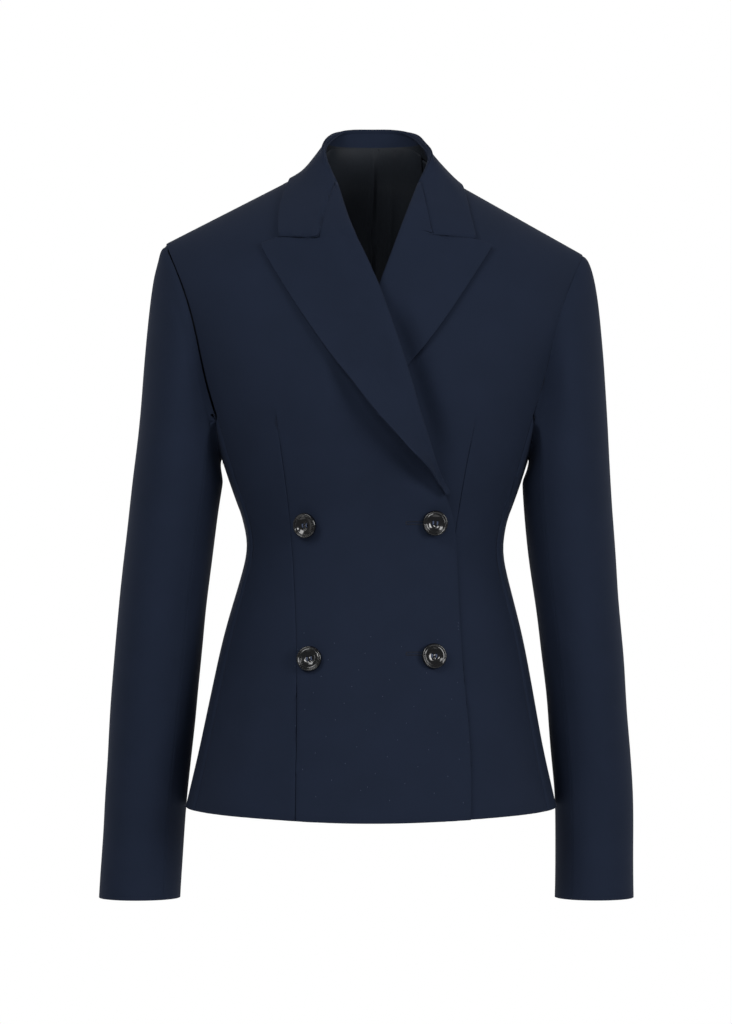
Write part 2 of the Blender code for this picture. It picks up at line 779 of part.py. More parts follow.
def build_collar():
    stations = collar_stations()
    last = len(stations) - 1
    borders = {side: gorge(side) for side in (-1, 1)}

    def seam_point(side, u):
        """The collar's end where it is sewn to the lapel."""
        folded = LAPELS[side][0]
        if u >= FALL_SHARE:
            return borders[side]((u - FALL_SHARE) / (1 - FALL_SHARE))
        if u > STAND_SHARE:
            return folded(1.0, FOLD_SHARE * (u - STAND_SHARE) / (FALL_SHARE - STAND_SHARE))
        return folded(1.0, 0.0) + GORGE_STAND * (1 - u / STAND_SHARE)

    def surface(v, u):
        point = collar_point(stations, v, u)
        near = min(v, 1 - v) * last
        if near >= GORGE_REACH:
            return point
        side = -1 if v < 0.5 else 1
        seam = seam_point(side, u)
        beyond = collar_point(stations, 1 / last if side < 0 else 1 - 1 / last, u)
        step = 0.03
        after = (seam_point(side, u + step) - seam).normalized() if u + step < 1 else None
        before = (seam - seam_point(side, u - step)).normalized() if u > step else after
        after = after or before
        along = (after + before).normalized()
        miter = 1 / math.sqrt((1 + max(after.dot(before), 0)) / 2)
        away = beyond - seam
        away -= along * away.dot(along)
        if u > FALL_SHARE:
            normal = off_torso(seam.x, seam.z, 1) - off_torso(seam.x, seam.z, 0)
            away -= normal * away.dot(normal)
        seam += away.normalized() * GORGE_GAP * miter
        shift = seam - collar_point(stations, 0 if side < 0 else 1, u)
        return point + shift * (1 - smooth(near / GORGE_REACH))

    columns = spread(3, 0, STAND_SHARE) + spread(4, STAND_SHARE, FALL_SHARE)[1:]
    columns += spread(FALL_COLUMNS, FALL_SHARE, 1)[1:]
    cloth("collar", surface, spread(2 * last + 4), columns, 1, COLLAR_WALL)


# ---------------------------------------------------------------- back neck lining


def build_lining():
    bottom, top_half, bottom_half = -235.0, 46.0, 100.0
    pleat_x, pleat_width, pleat_rise, ease, side_drop = 2.0, 2.6, 2.6, 2.0, 6.0
    columns = spread(6, 0, 0.46) + spread(6, 0.485, 0.545) + spread(6, 0.58, 1)

    def surface(v, u):
        x = mix(-1, 1, u) * mix(top_half, bottom_half, v)
        z = mix(neck_top(x)[1] - 1 - side_drop * smooth((abs(x) - 32) / 14), bottom, v)
        rise = pleat_rise * math.exp(-(((x - pleat_x) / pleat_width) ** 2))
        normal = off_torso(x, z, 1, True) - off_torso(x, z, 0, True)
        inside = (WALL + LAY_GAP + LINING_WALL + ease) / normal.y + rise
        return x, back_y(x, z) - inside, z

    cloth("back_lining", surface, spread(9), columns, 1, LINING_WALL, (LINING_NAVY, 0.5))


# ---------------------------------------------------------------- sleeves


def armhole_point(turn, side):
    """The armhole's seam by degrees from the shoulder, the front first."""
    end_z = SHOULDER_END[side][1]
    z = mix(end_z, UNDERARM_Z, (1 - math.cos(math.radians(turn))) / 2)
    in_front = turn <= 180
    if z > SIDE_SEAM_TOP_Z:
        share = (z - SIDE_SEAM_TOP_Z) / (end_z - SIDE_SEAM_TOP_Z)
        x = armhole_edge(share, side, 1 if in_front else 2)[0]
        return Vector((x, front_y(x, z) if in_front else back_y(x, z), z))
    middle = mix(SEAM_ANGLE_FRONT, SEAM_ANGLE_BACK, 0.45)
    seam = SEAM_ANGLE_FRONT if in_front else SEAM_ANGLE_BACK
    angle = middle + (seam - middle) * math.sqrt((z - UNDERARM_Z) / (SIDE_SEAM_TOP_Z - UNDERARM_Z))
    x, y = ring_point(side * angle, z)
    return Vector((x, y, z))


def sleeve_ring(turn, z, side):
    table = SLEEVE[side]
    flip = table[::-1]
    centre_x, half, centre_y, depth = (through(flip, z, k) for k in range(1, 5))
    turn = math.radians(turn)
    return Vector((centre_x + side * half * math.cos(turn), centre_y - depth * math.sin(turn), z))


CAP = 0.42  # share of the sleeve's rows above the biceps


def sleeve(name, side, start, end, columns):
    biceps = SLEEVE[side][0, 0]
    gap = math.degrees(SEAM_GAP / 2 / 45)

    def surface(v, u):
        turn = mix(start + gap, end - gap, u) % 360
        if v > CAP:
            front_share = (1 + math.sin(math.radians(turn))) / 2
            cuff = CUFF_Z + CUFF_RISE * front_share
            return sleeve_ring(turn, mix(biceps, cuff, (v - CAP) / (1 - CAP)), side)
        t = v / CAP
        high = (1 + math.cos(math.radians(turn))) / 2
        seam = armhole_point(turn, side) + Vector((side * (0.5 + 2.0 * (1 - high) ** 4), 0, 0))
        ring = sleeve_ring(turn, biceps, side)
        below = sleeve_ring(turn, biceps - 5, side)
        square = side * mix(1.0, SLEEVE_HEAD[side], high**0.35)
        leave = Vector((square, -8 * math.sin(math.radians(turn)), -24 * (1 - high)))
        arrive = (below - ring).normalized() * abs(seam.z - biceps) * 1.05
        return (
            seam * (1 + 2 * t) * (1 - t) ** 2
            + leave * t * (1 - t) ** 2
            + ring * t * t * (3 - 2 * t)
            - arrive * t * t * (1 - t)
        )

    rows = [CAP * (k / 9) ** 1.3 for k in range(10)] + spread(9, CAP, 1)[1:]
    cloth(name, surface, rows, spread(columns), -side)


def build_sleeves():
    for word, side in (("right", -1), ("left", 1)):
        sleeve("sleeve_" + word + "_top", side, SLEEVE_SEAM_BACK - 360, SLEEVE_SEAM_FRONT, 16)
        sleeve("sleeve_" + word + "_under", side, SLEEVE_SEAM_FRONT, SLEEVE_SEAM_BACK, 7)


# ---------------------------------------------------------------- buttons

BUTTON_PROFILE = (
    # radius, height over the back
    (10.3, 0.0),
    (11.5, 1.1),
    (11.5, 2.6),
    (10.7, 3.5),
    (9.7, 3.5),
    (8.6, 2.6),
    (7.2, 2.0),
)
BUTTON_SEGMENTS = 24


def button_mesh():
    bm = bmesh.new()
    rings = []
    for radius, height in BUTTON_PROFILE:
        ring = []
        for k in range(BUTTON_SEGMENTS):
            turn = 2 * math.pi * k / BUTTON_SEGMENTS
            place = Vector((radius * math.cos(turn), radius * math.sin(turn), height)) * MM
            ring.append(bm.verts.new(place))
        rings.append(ring)
    for low, high in zip(rings, rings[1:]):
        for k in range(BUTTON_SEGMENTS):
            after = (k + 1) % BUTTON_SEGMENTS
            bm.faces.new((low[k], low[after], high[after], high[k]))
    bm.faces.new(reversed(rings[0]))
    bm.faces.new(rings[-1])
    mesh = bpy.data.meshes.new("button")
    bm.to_mesh(mesh)
    bm.free()
    return mesh


def hole_cutter():
    """Four round pins where the thread goes through."""
    bm = bmesh.new()
    for x in (-1, 1):
        for y in (-1, 1):
            place = Matrix.Translation((x * BUTTON_HOLE_SPREAD / 2 * MM, y * BUTTON_HOLE_SPREAD / 2 * MM, 0))
            bmesh.ops.create_cone(
                bm,
                cap_ends=True,
                segments=8,
                radius1=BUTTON_HOLE / 2 * MM,
                radius2=BUTTON_HOLE / 2 * MM,
                depth=4 * BUTTON_THICKNESS * MM,
                matrix=place,
            )
    mesh = bpy.data.meshes.new("thread_holes")
    bm.to_mesh(mesh)
    bm.free()
    cutter = bpy.data.objects.new("thread_holes", mesh)
    cutter.hide_render = True
    cutter.display_type = "WIRE"
    bpy.context.scene.collection.objects.link(cutter)
    return cutter


def build_buttons():
    for name, (x, z, turn, tip) in BUTTONS.items():
        mesh = button_mesh()
        mesh.shade_smooth()
        mesh.set_sharp_from_angle(angle=math.radians(30))
        mesh.materials.append(material(name + "_horn", HORN_BLACK, 0.2))
        button = bpy.data.objects.new(name, mesh)
        bpy.context.scene.collection.objects.link(button)
        cut = button.modifiers.new("thread_holes", "BOOLEAN")
        cut.operation = "DIFFERENCE"
        cut.object = hole_cutter()
        stand = BUTTON_STANDOFF + top_lift(x, z) + BUTTON_DIAMETER / 2 * math.sin(math.radians(turn)) * 0.8
        foot = off_torso(x, z, stand)
        out = foot - off_torso(x, z, stand - 1)
        face = out.to_track_quat("Z", "Y").to_matrix().to_4x4()
        lean = Matrix.Rotation(math.radians(turn), 4, "Z") @ Matrix.Rotation(math.radians(tip), 4, "X")
        button.matrix_world = Matrix.Translation(foot * MM) @ lean @ face
        cut.object.matrix_world = button.matrix_world


def clear_scene():
    for found in list(bpy.data.objects):
        bpy.data.objects.remove(found, do_unlink=True)


clear_scene()
build_body()
build_lapels()
build_collar()
build_lining()
build_sleeves()
build_buttons()
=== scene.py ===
import math

import bmesh
import bpy
import numpy as np
from mathutils import Matrix, Vector, noise
from mathutils.bvhtree import BVHTree
from mathutils.kdtree import KDTree


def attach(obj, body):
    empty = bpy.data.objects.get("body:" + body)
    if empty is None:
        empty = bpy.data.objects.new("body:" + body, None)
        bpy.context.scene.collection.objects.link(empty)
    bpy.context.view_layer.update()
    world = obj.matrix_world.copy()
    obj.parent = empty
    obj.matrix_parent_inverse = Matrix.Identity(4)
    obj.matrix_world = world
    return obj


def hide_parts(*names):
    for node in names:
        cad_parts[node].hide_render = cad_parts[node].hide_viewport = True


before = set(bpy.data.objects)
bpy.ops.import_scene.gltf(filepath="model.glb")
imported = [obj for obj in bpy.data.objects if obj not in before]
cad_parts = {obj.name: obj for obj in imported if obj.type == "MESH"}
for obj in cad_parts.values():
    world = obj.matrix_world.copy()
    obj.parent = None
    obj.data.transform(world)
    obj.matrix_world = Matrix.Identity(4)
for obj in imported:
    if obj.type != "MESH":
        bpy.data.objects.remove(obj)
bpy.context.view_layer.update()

# Looks of the double breasted blazer: navy worsted wool over a dark satin lining, horn-look buttons.
# Places are in the part's frame: +Z up, the front faces -Y, tables in millimetres.

MM = 0.001

# ---------------------------------------------------------------- sizes

TORSO_AXIS_Y = 5.0  # the middle of the torso's rings
TORSO_HALF = (160.0, 110.0)  # typical half width and half depth, which give the way out
SLEEVE_AXIS = {
    # z, centre x, centre y
    "right": ((-286, -183.5, 2), (-443, -202.2, 10), (-566, -213.6, 24), (-677, -220.4, 13)),
    "left": ((-286, 183.6, 2), (-443, 199.1, 12), (-591, 211.4, 25), (-677, 210.8, 15)),
}
HEM_Z, HEM_TURN = -588.0, 34.0  # the hem's cloth is turned up inside this far
CUFF_Z, CUFF_TURN = -676.0, 38.0
FACING_WIDTH = 84.0  # wool facing inside each front, from its free edge
NECK_SEAM_Z = 39.6  # the level seam inside the neck, between collar and lining
STAND_LINED_Y = 18.0  # behind this the collar's stand is lined below that seam
EDGE_ROUND = 0.42  # rounding of a turned cloth edge
THREAD = 0.28  # radius of sewing thread

BUTTON_RADIUS = 11.5
HOLE_SPREAD = (3.9, 3.2)  # between neighbouring thread holes, sideways and upright
HOLE_RADIUS = 0.95

WOOL_NODES = (
    "front_right", "front_left", "side_right", "side_left", "back_right", "back_left",
    "lapel_right", "lapel_left", "collar",
    "sleeve_right_top", "sleeve_right_under", "sleeve_left_top", "sleeve_left_under",
)
BUTTON_NODES = ("button_top_right", "button_top_left", "button_low_right", "button_low_left")


# ---------------------------------------------------------------- materials

# Pattern scales, for coordinates in metres
TWILL = 330.0  # ribs 0.95 mm apart: about twice a worsted's own, which would be too fine to show
TWILL_STEEP = math.radians(63)
YARN = 900.0  # uneven yarn, 1.1 mm: coarser than the yarn itself, which would be too fine to show
CLOUD = 26.0  # nap that lies this way and that, 38 mm
SATIN_THREAD = 1500.0  # 0.7 mm across and 5.6 mm long: a few of the real threads together
PLY = 3000.0  # the twist of sewing thread, 0.33 mm
STREAK = 260.0  # the horn's streaks, 4 mm


def linear(code):
    """sRGB hex to a linear colour."""
    parts = [int(code[k : k + 2], 16) / 255 for k in (1, 3, 5)]
    return [p / 12.92 if p <= 0.04045 else ((p + 0.055) / 1.055) ** 2.4 for p in parts] + [1.0]


def add(tree, kind, links=(), **settings):
    """One shader node: settings by attribute or by input name, links as (input, output socket)."""
    made = tree.nodes.new("ShaderNode" + kind)
    for key, value in settings.items():
        name = key.replace("_", " ").title()
        if hasattr(made, key):
            setattr(made, key, value)
        else:
            made.inputs[name].default_value = value
    for name, socket in links:
        tree.links.new(socket, made.inputs[name])
    return made


def new_material(name, **shader_inputs):
    made = bpy.data.materials.new(name)
    made.use_nodes = True
    shader = made.node_tree.nodes["Principled BSDF"]
    for key, value in shader_inputs.items():
        shader.inputs[key.replace("_", " ")].default_value = value
    return made, made.node_tree, shader


def two_tone(tree, shader, factor, dark, light):
    tones = add(tree, "Mix", data_type="RGBA")
    tree.links.new(factor, tones.inputs[0])
    tones.inputs[6].default_value = linear(dark)
    tones.inputs[7].default_value = linear(light)
    tree.links.new(tones.outputs[2], shader.inputs["Base Color"])
    return tones


def wool_material():
    """Worsted wool: a fine steep twill, slightly uneven yarn and a faint nap."""
    made, tree, shader = new_material(
        "navy_worsted_wool", Roughness=0.88, Specular_IOR_Level=0.12,
        Sheen_Weight=0.03, Sheen_Roughness=0.45, Sheen_Tint=linear("#8C9AC0"),
    )
    grain = add(tree, "UVMap", uv_map="grain")
    turned = add(tree, "Mapping", [("Vector", grain.outputs[0])], rotation=(0, 0, TWILL_STEEP))
    twill = add(tree, "TexWave", [("Vector", turned.outputs[0])], scale=TWILL, distortion=0.6, detail=1.0)
    twill.wave_type, twill.bands_direction, twill.wave_profile = "BANDS", "X", "SIN"
    yarn = add(tree, "TexNoise", [("Vector", grain.outputs[0])], scale=YARN, detail=3.0)
    cloud = add(tree, "TexNoise", [("Vector", grain.outputs[0])], scale=CLOUD, detail=4.0)
    blend = add(tree, "Math", operation="MULTIPLY_ADD")
    tree.links.new(yarn.outputs["Fac"], blend.inputs[0])
    blend.inputs[1].default_value = 0.6
    spread = add(tree, "Math", operation="MULTIPLY_ADD")
    tree.links.new(cloud.outputs["Fac"], spread.inputs[0])
    spread.inputs[1].default_value = 0.7
    spread.inputs[2].default_value = -0.15
    tree.links.new(spread.outputs[0], blend.inputs[2])
    two_tone(tree, shader, blend.outputs[0], "#171F2E", "#1D2537")
    weave = add(tree, "Math", operation="MULTIPLY_ADD")
    tree.links.new(yarn.outputs["Fac"], weave.inputs[0])
    weave.inputs[1].default_value = 0.7
    tree.links.new(twill.outputs["Fac"], weave.inputs[2])
    bump = add(tree, "Bump", [("Height", weave.outputs[0])], strength=0.35, distance=0.12 * MM)
    tree.links.new(bump.outputs[0], shader.inputs["Normal"])
    return made


def lining_material():
    """Cupro satin: dark, smooth, with a soft lengthwise gloss."""
    made, tree, shader = new_material(
        "navy_satin_lining", Roughness=0.55, Specular_IOR_Level=0.1, Anisotropic=0.4
    )
    grain = add(tree, "UVMap", uv_map="grain")
    stretched = add(tree, "Mapping", [("Vector", grain.outputs[0])], scale=(1.0, 0.12, 1.0))
    thread = add(tree, "TexNoise", [("Vector", stretched.outputs[0])], scale=SATIN_THREAD, detail=2.0)
    two_tone(tree, shader, thread.outputs["Fac"], "#1E2126", "#272B31")
    bump = add(tree, "Bump", [("Height", thread.outputs["Fac"])], strength=0.12, distance=0.05 * MM)
    tree.links.new(bump.outputs[0], shader.inputs["Normal"])
    return made


def thread_material(name, dark, light):
    """Sewing thread, a little glossier than the wool."""
    made, tree, shader = new_material(name, Roughness=0.6, Specular_IOR_Level=0.3)
    place = add(tree, "TexCoord")
    ply = add(tree, "TexNoise", [("Vector", place.outputs["Object"])], scale=PLY)
    two_tone(tree, shader, ply.outputs["Fac"], dark, light)
    return made


def horn_material():
    """Polished near-black horn: faint brown streaks under a clear gloss."""
    made, tree, shader = new_material(
        "polished_dark_horn", Roughness=0.16, Specular_IOR_Level=0.5, Coat_Weight=0.35, Coat_Roughness=0.06
    )
    place = add(tree, "TexCoord")
    long = add(tree, "Mapping", [("Vector", place.outputs["Object"])], scale=(1.0, 1.0, 0.35))
    streaks = add(tree, "TexNoise", [("Vector", long.outputs[0])], scale=STREAK, detail=5.0, distortion=1.2)
    two_tone(tree, shader, streaks.outputs["Fac"], "#030405", "#0B0C10")
    return made


WOOL = wool_material()
LINING = lining_material()
HOLE_THREAD = thread_material("dark_navy_thread", "#0E121C", "#171D2B")
SEWING_THREAD = thread_material("grey_navy_thread", "#343D52", "#4A546C")
HORN = horn_material()


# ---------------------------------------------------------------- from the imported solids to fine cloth

OUTER, INNER, RIM = 0, 1, 2  # sides of a cloth wall, kept as slot numbers until it is finished
SHARP = math.radians(42)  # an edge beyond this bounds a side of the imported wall
WELD = 0.01 * MM  # points of one solid closer than this are one
CUT_NEAR = 1e-6  # a plane that cuts a mesh takes points this near as on it, in metres


def link(name, mesh):
    made = bpy.data.objects.new(name, mesh)
    bpy.context.scene.collection.objects.link(made)
    return made


def read_places(mesh):
    places = np.empty(len(mesh.vertices) * 3)
    mesh.vertices.foreach_get("co", places)
    return places.reshape(-1, 3)


def write_places(mesh, places):
    mesh.vertices.foreach_set("co", places.reshape(-1))
    mesh.update()


def surface_tree(mesh):
    return BVHTree.FromPolygons([v.co for v in mesh.vertices], [p.vertices for p in mesh.polygons])


def select_only(piece):
    bpy.ops.object.select_all(action="DESELECT")
    piece.select_set(True)
    bpy.context.view_layer.objects.active = piece


def apply_modifiers(piece):
    select_only(piece)
    for modifier in list(piece.modifiers):
        bpy.ops.object.modifier_apply(modifier=modifier.name)


def skew(edge):
    """How far the two triangles at an edge are from one flat rectangle."""
    one, two = edge.link_faces
    tips = [next(v for v in face.verts if v not in edge.verts).co for face in (one, two)]
    a, b = (v.co for v in edge.verts)
    ring = (a, tips[0], b, tips[1])
    off = 0.0
    for k, corner in enumerate(ring):
        before, after = ring[k - 1] - corner, ring[(k + 1) % 4] - corner
        off += abs(before.angle(after, 0.0) - math.pi / 2)
    return off + 2 * one.normal.angle(two.normal, 0.0)


def free_pair(lone, mate):
    """Rearranges the pairs along the shortest path from one single triangle to another."""
    came, queue = {lone: None}, [lone]
    for face in queue:
        for edge in face.edges:
            if len(edge.link_faces) != 2 or mate.get(face) is edge:
                continue
            other = next(f for f in edge.link_faces if f is not face)
            if other in came:
                continue
            if other not in mate:
                while edge is not None:
                    mate[face] = mate[other] = edge
                    step = came[face]
                    if step is None:
                        return
                    face, edge, other = step
                return
            partner = next(f for f in mate[other].link_faces if f is not other)
            if partner not in came:
                came[other] = came[partner] = (face, edge, other)
                queue.append(partner)


def join_triangles(bm):
    """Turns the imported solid's triangles back into the rows and columns that it was drawn with."""
    bm.faces.ensure_lookup_table()
    inner = [edge for edge in bm.edges if len(edge.link_faces) == 2]
    cost = {edge: skew(edge) for edge in inner}
    mate = {}
    for edge in sorted(inner, key=cost.get):
        if not any(face in mate for face in edge.link_faces):
            for face in edge.link_faces:
                mate[face] = edge
    for lone in list(bm.faces):
        if lone not in mate:
            free_pair(lone, mate)
    # Each edge once and always in the same order, so that every run gives the same mesh
    bmesh.ops.dissolve_edges(bm, edges=list(dict.fromkeys(mate.values())), use_verts=False)


def sides_of_wall(bm):
    """The wall's two broad sides, each a list of faces inside the sharp edges round it."""
    left = dict.fromkeys(bm.faces)
    found = []
    while left:
        group = [left.popitem()[0]]
        for face in group:
            for edge in face.edges:
                if edge.calc_face_angle(0.0) > SHARP:
                    continue
                for other in edge.link_faces:
                    if other in left:
                        del left[other]
                        group.append(other)
        found.append(group)
    return sorted(found, key=len)[-2:]


def fine_copy(node, name, levels=2):
    """A smooth, finely divided copy of one cloth solid, whose slots are its sides."""
    bm = bmesh.new()
    bm.from_mesh(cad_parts[node].data)
    bmesh.ops.remove_doubles(bm, verts=bm.verts, dist=WELD)
    bm.normal_update()
    join_triangles(bm)
    bm.normal_update()
    crease = bm.edges.layers.float.new("crease_edge")
    for edge in bm.edges:
        if edge.calc_face_angle(0.0) > SHARP:
            edge[crease] = 1.0
    for face in bm.faces:
        face.material_index = RIM
    for side in sides_of_wall(bm):
        outward = [face.normal.dot(way_out(face.calc_center_median(), node)) for face in side]
        for face in side:
            face.material_index = OUTER if sum(outward) > 0 else INNER
    mesh = bpy.data.meshes.new(name)
    bm.to_mesh(mesh)
    bm.free()
    piece = link(name, mesh)
    smooth = piece.modifiers.new("smooth", "SUBSURF")
    smooth.levels = smooth.render_levels = levels
    apply_modifiers(piece)
    return piece


def sleeve_centre(point, word):
    rows = SLEEVE_AXIS[word]
    heights = [row[0] for row in rows][::-1]
    z = point[2] / MM
    return [float(np.interp(z, heights, [row[k] for row in rows][::-1])) for k in (1, 2)]


def way_out(point, node):
    """The direction from the middle of the torso or sleeve out through the cloth."""
    if node.startswith("sleeve"):
        centre = sleeve_centre(point, node.split("_")[1])
        return Vector((point[0] / MM - centre[0], point[1] / MM - centre[1], 0)).normalized()
    wide, deep = TORSO_HALF
    return Vector((point[0] / MM / wide**2, (point[1] / MM - TORSO_AXIS_Y) / deep**2, 0)).normalized()


# ---------------------------------------------------------------- creases

# Each crease runs between two points of the cloth: depth is out of the cloth, negative for a trough
# Where the under front falls back beside the roll line, and where both fronts do below the upper lapel
ROLL_HOLLOW = ((17, -118, -120), (69, -116, -272), -13.0, 12)
LAPEL_HOLLOW = ((-26, -118, -184), (58, -118, -286), -15.0, 12)
HOLLOWS = {
    "lapel_right": (LAPEL_HOLLOW,),
    "front_right": (LAPEL_HOLLOW,),
    "front_left": (LAPEL_HOLLOW, ROLL_HOLLOW),
    "lapel_left": (LAPEL_HOLLOW, ROLL_HOLLOW),
}
LAPEL_HOLD = 9.0  # the upper lapel follows the front only this near its roll
TORSO_CREASES = (
    # from x, y, z, to x, y, z, depth, half width
    ((-62, -100, -322), (-112, -60, -318), -0.9, 5),
    ((-60, -100, -335), (-105, -62, -352), 0.7, 8),
    ((34, -104, -322), (-36, -106, -326), -0.5, 7),
    ((40, -108, -352), (18, -112, -430), 0.9, 12),
    ((74, -96, -324), (112, -58, -318), -0.9, 5),
    ((80, -92, -338), (110, -60, -352), 0.6, 8),
    ((96, -80, -420), (128, -66, -575), 1.2, 16),
    ((-96, -86, -440), (-120, -82, -580), 0.9, 15),
    ((-30, -112, -470), (-22, -128, -585), 0.8, 18),
    ((-118, 10, -300), (-124, -30, -330), -0.8, 7),
    ((124, 12, -302), (128, -30, -332), -0.8, 7),
    ((-96, 62, -318), (-30, 80, -332), -1.1, 8),
    ((96, 62, -322), (26, 80, -334), -1.1, 8),
    ((-88, 68, -350), (-34, 84, -360), 0.9, 9),
    ((84, 70, -352), (40, 84, -364), 0.9, 9),
    ((-60, 90, -420), (-74, 104, -580), 1.2, 17),
    ((58, 90, -425), (70, 104, -580), 1.2, 17),
    ((-120, 60, -150), (-96, 84, -250), 0.9, 14),
    ((122, 60, -150), (98, 84, -250), 0.9, 14),
)
SLEEVE_CREASES = {
    "right": (
        ((-160, -38, -400), (-186, -48, -428), -1.1, 8),
        ((-164, -36, -436), (-196, -46, -452), 1.0, 9),
        ((-168, -30, -466), (-196, -44, -474), -0.8, 8),
        ((-236, 46, -420), (-206, 64, -470), 0.8, 14),
        ((-172, -44, -250), (-196, -56, -300), 0.8, 13),
        ((-230, -30, -520), (-236, -24, -640), 0.7, 12),
    ),
    "left": (
        ((160, -38, -396), (186, -48, -424), -1.1, 8),
        ((164, -36, -430), (196, -46, -448), 1.0, 9),
        ((166, -30, -460), (192, -44, -470), -0.8, 8),
        ((232, 46, -430), (202, 64, -478), 0.8, 14),
        ((172, -44, -248), (196, -56, -296), 0.8, 13),
        ((226, -30, -530), (230, -24, -640), 0.7, 12),
    ),
}


CREASE_ENDS = (0.12, 0.76)  # a crease fades from and to this part of a half wave, and how much it spans
CREASE_FADE = 0.8


def crease_height(points, creases):
    """How far the creases move each point out, in millimetres."""
    moved = np.zeros(len(points))
    for start, end, depth, half in creases:
        start, run = np.array(start, float), np.array(end, float) - start
        along = np.clip((points - start) @ run / (run @ run), 0, 1)
        off = np.linalg.norm(points - start - along[:, None] * run, axis=1)
        taper = np.sin(math.pi * (CREASE_ENDS[0] + CREASE_ENDS[1] * along)) ** CREASE_FADE
        moved += depth * taper * np.exp(-((off / half) ** 2))
    return moved


WANDER = {"sleeve": (60.0, 0.9), "torso": (75.0, 0.7)}  # soft unevenness: its size and height
# Padded cloth is still above the first height, and moves fully the second figure below it
STILL = {"right": (-60.0, 160.0), "left": (-70.0, 160.0), "torso": (-30.0, 120.0)}


def wander(points, size, height):
    """Soft unevenness of hanging cloth."""
    return np.array([height * noise.noise(Vector(p) / size) for p in points])


def drape(piece, node):
    """Moves the cloth out and in by its creases."""
    mesh = piece.data
    places = read_places(mesh)
    points = places / MM
    if node.startswith("sleeve"):
        word = node.split("_")[1]
        moved = crease_height(points, SLEEVE_CREASES[word]) + wander(points, *WANDER["sleeve"])
        top, fade = STILL[word]
    else:
        moved = crease_height(points, TORSO_CREASES) + wander(points, *WANDER["torso"])
        top, fade = STILL["torso"]
    moved *= np.clip((top - points[:, 2]) / fade, 0, 1)
    ways = np.array([way_out(p, node) for p in places])
    write_places(mesh, places + ways * (moved * MM)[:, None])


def hollow(piece, node):
    """The fronts fall back beside the roll line and below the upper lapel, which spans the hollow."""
    if node not in HOLLOWS:
        return
    for vertex in piece.data.vertices:
        point = np.array(vertex.co)[None] / MM
        depth = crease_height(point, HOLLOWS[node])[0]
        if node == "lapel_right":
            depth *= math.exp(-((edge_distance(vertex.co) / LAPEL_HOLD) ** 2))
        vertex.co += way_out(vertex.co, node) * (depth * MM)


# Small shifts within the cloth's own surface: pieces, centre x, z, reach x, z, shift x, y, z
NUDGES = (
    (("collar", "lapel_right"), (-50, -50), (27, 24), (0.0, -4.8, -8.0)),
    (("collar",), (-92, -30), (15, 30), (3.4, 0.0, 0.0)),
)


def nudge(piece, node):
    mesh = piece.data
    places = read_places(mesh)
    x, y, z = places.T / MM
    for nodes, centre, reach, shift in NUDGES:
        if node in nodes:
            near = np.exp(-(((x - centre[0]) / reach[0]) ** 2) - ((z - centre[1]) / reach[1]) ** 2) * (y < 0)
            places = places + near[:, None] * np.array(shift) * MM
    write_places(mesh, places)


LAPEL_PRESSED = (-222, -180)  # from the first height up to the second the lapel settles on the front
PRESSED_GAP, LEFT_OPEN = 0.7, 0.2  # it keeps this gap, and this share of what is beyond it
ROLL_HOLDS = (2, 14)  # near its roll the lapel stays: from this distance on it settles, over this length
DROP_SOFT = 0.5  # evens out how near points share their drop


def press_lapel(lapel, front):
    """Settles the upper lapel on the front, so that only its lower end stands open."""
    tree = surface_tree(front.data)
    under = sorted({v for face in lapel.data.polygons if face.material_index == INNER for v in face.vertices})
    inner = KDTree(len(under))
    drops = []
    for k, v in enumerate(under):
        place = lapel.data.vertices[v].co
        inner.insert(place, k)
        hit = tree.find_nearest(place)
        gap = hit[3] / MM - PRESSED_GAP
        drops.append((hit[0] - place).normalized() * max(gap, 0.0) if hit[3] > 0 else Vector())
    inner.balance()
    low, high = LAPEL_PRESSED
    moves = []
    for vertex in lapel.data.vertices:
        settled = min(max((vertex.co.z / MM - low) / (high - low), 0), 1)
        beside = min(max((edge_distance(vertex.co) - ROLL_HOLDS[0]) / ROLL_HOLDS[1], 0), 1)
        found = inner.find_n(vertex.co, 4)
        weights = [1 / (entry[2] + DROP_SOFT * MM) for entry in found]
        drop = sum((drops[entry[1]] * w for entry, w in zip(found, weights)), Vector()) / sum(weights)
        moves.append(drop * (settled * beside * (1 - LEFT_OPEN) * MM))
    for vertex, move in zip(lapel.data.vertices, moves):
        vertex.co += move


def edge_distance(place):
    """How far a place on the wearer's right lies from that front's free edge, sideways in millimetres."""
    return EDGES["front_right"](place.z / MM) - place.x / MM


# To lay the cloth flat, each kind of piece is unrolled from a tube: its radius, and its axis in y
SLEEVE_TUBE = 46.0
COLLAR_TUBE, FRONT_TUBE, BACK_TUBE = (70.0, 30), (165.0, 70), (150.0, -60)
COLLAR_LEAN = 0.5  # the collar's fall lies back by this
LAPEL_LEAN = 22  # degrees that the lapel's grain leans


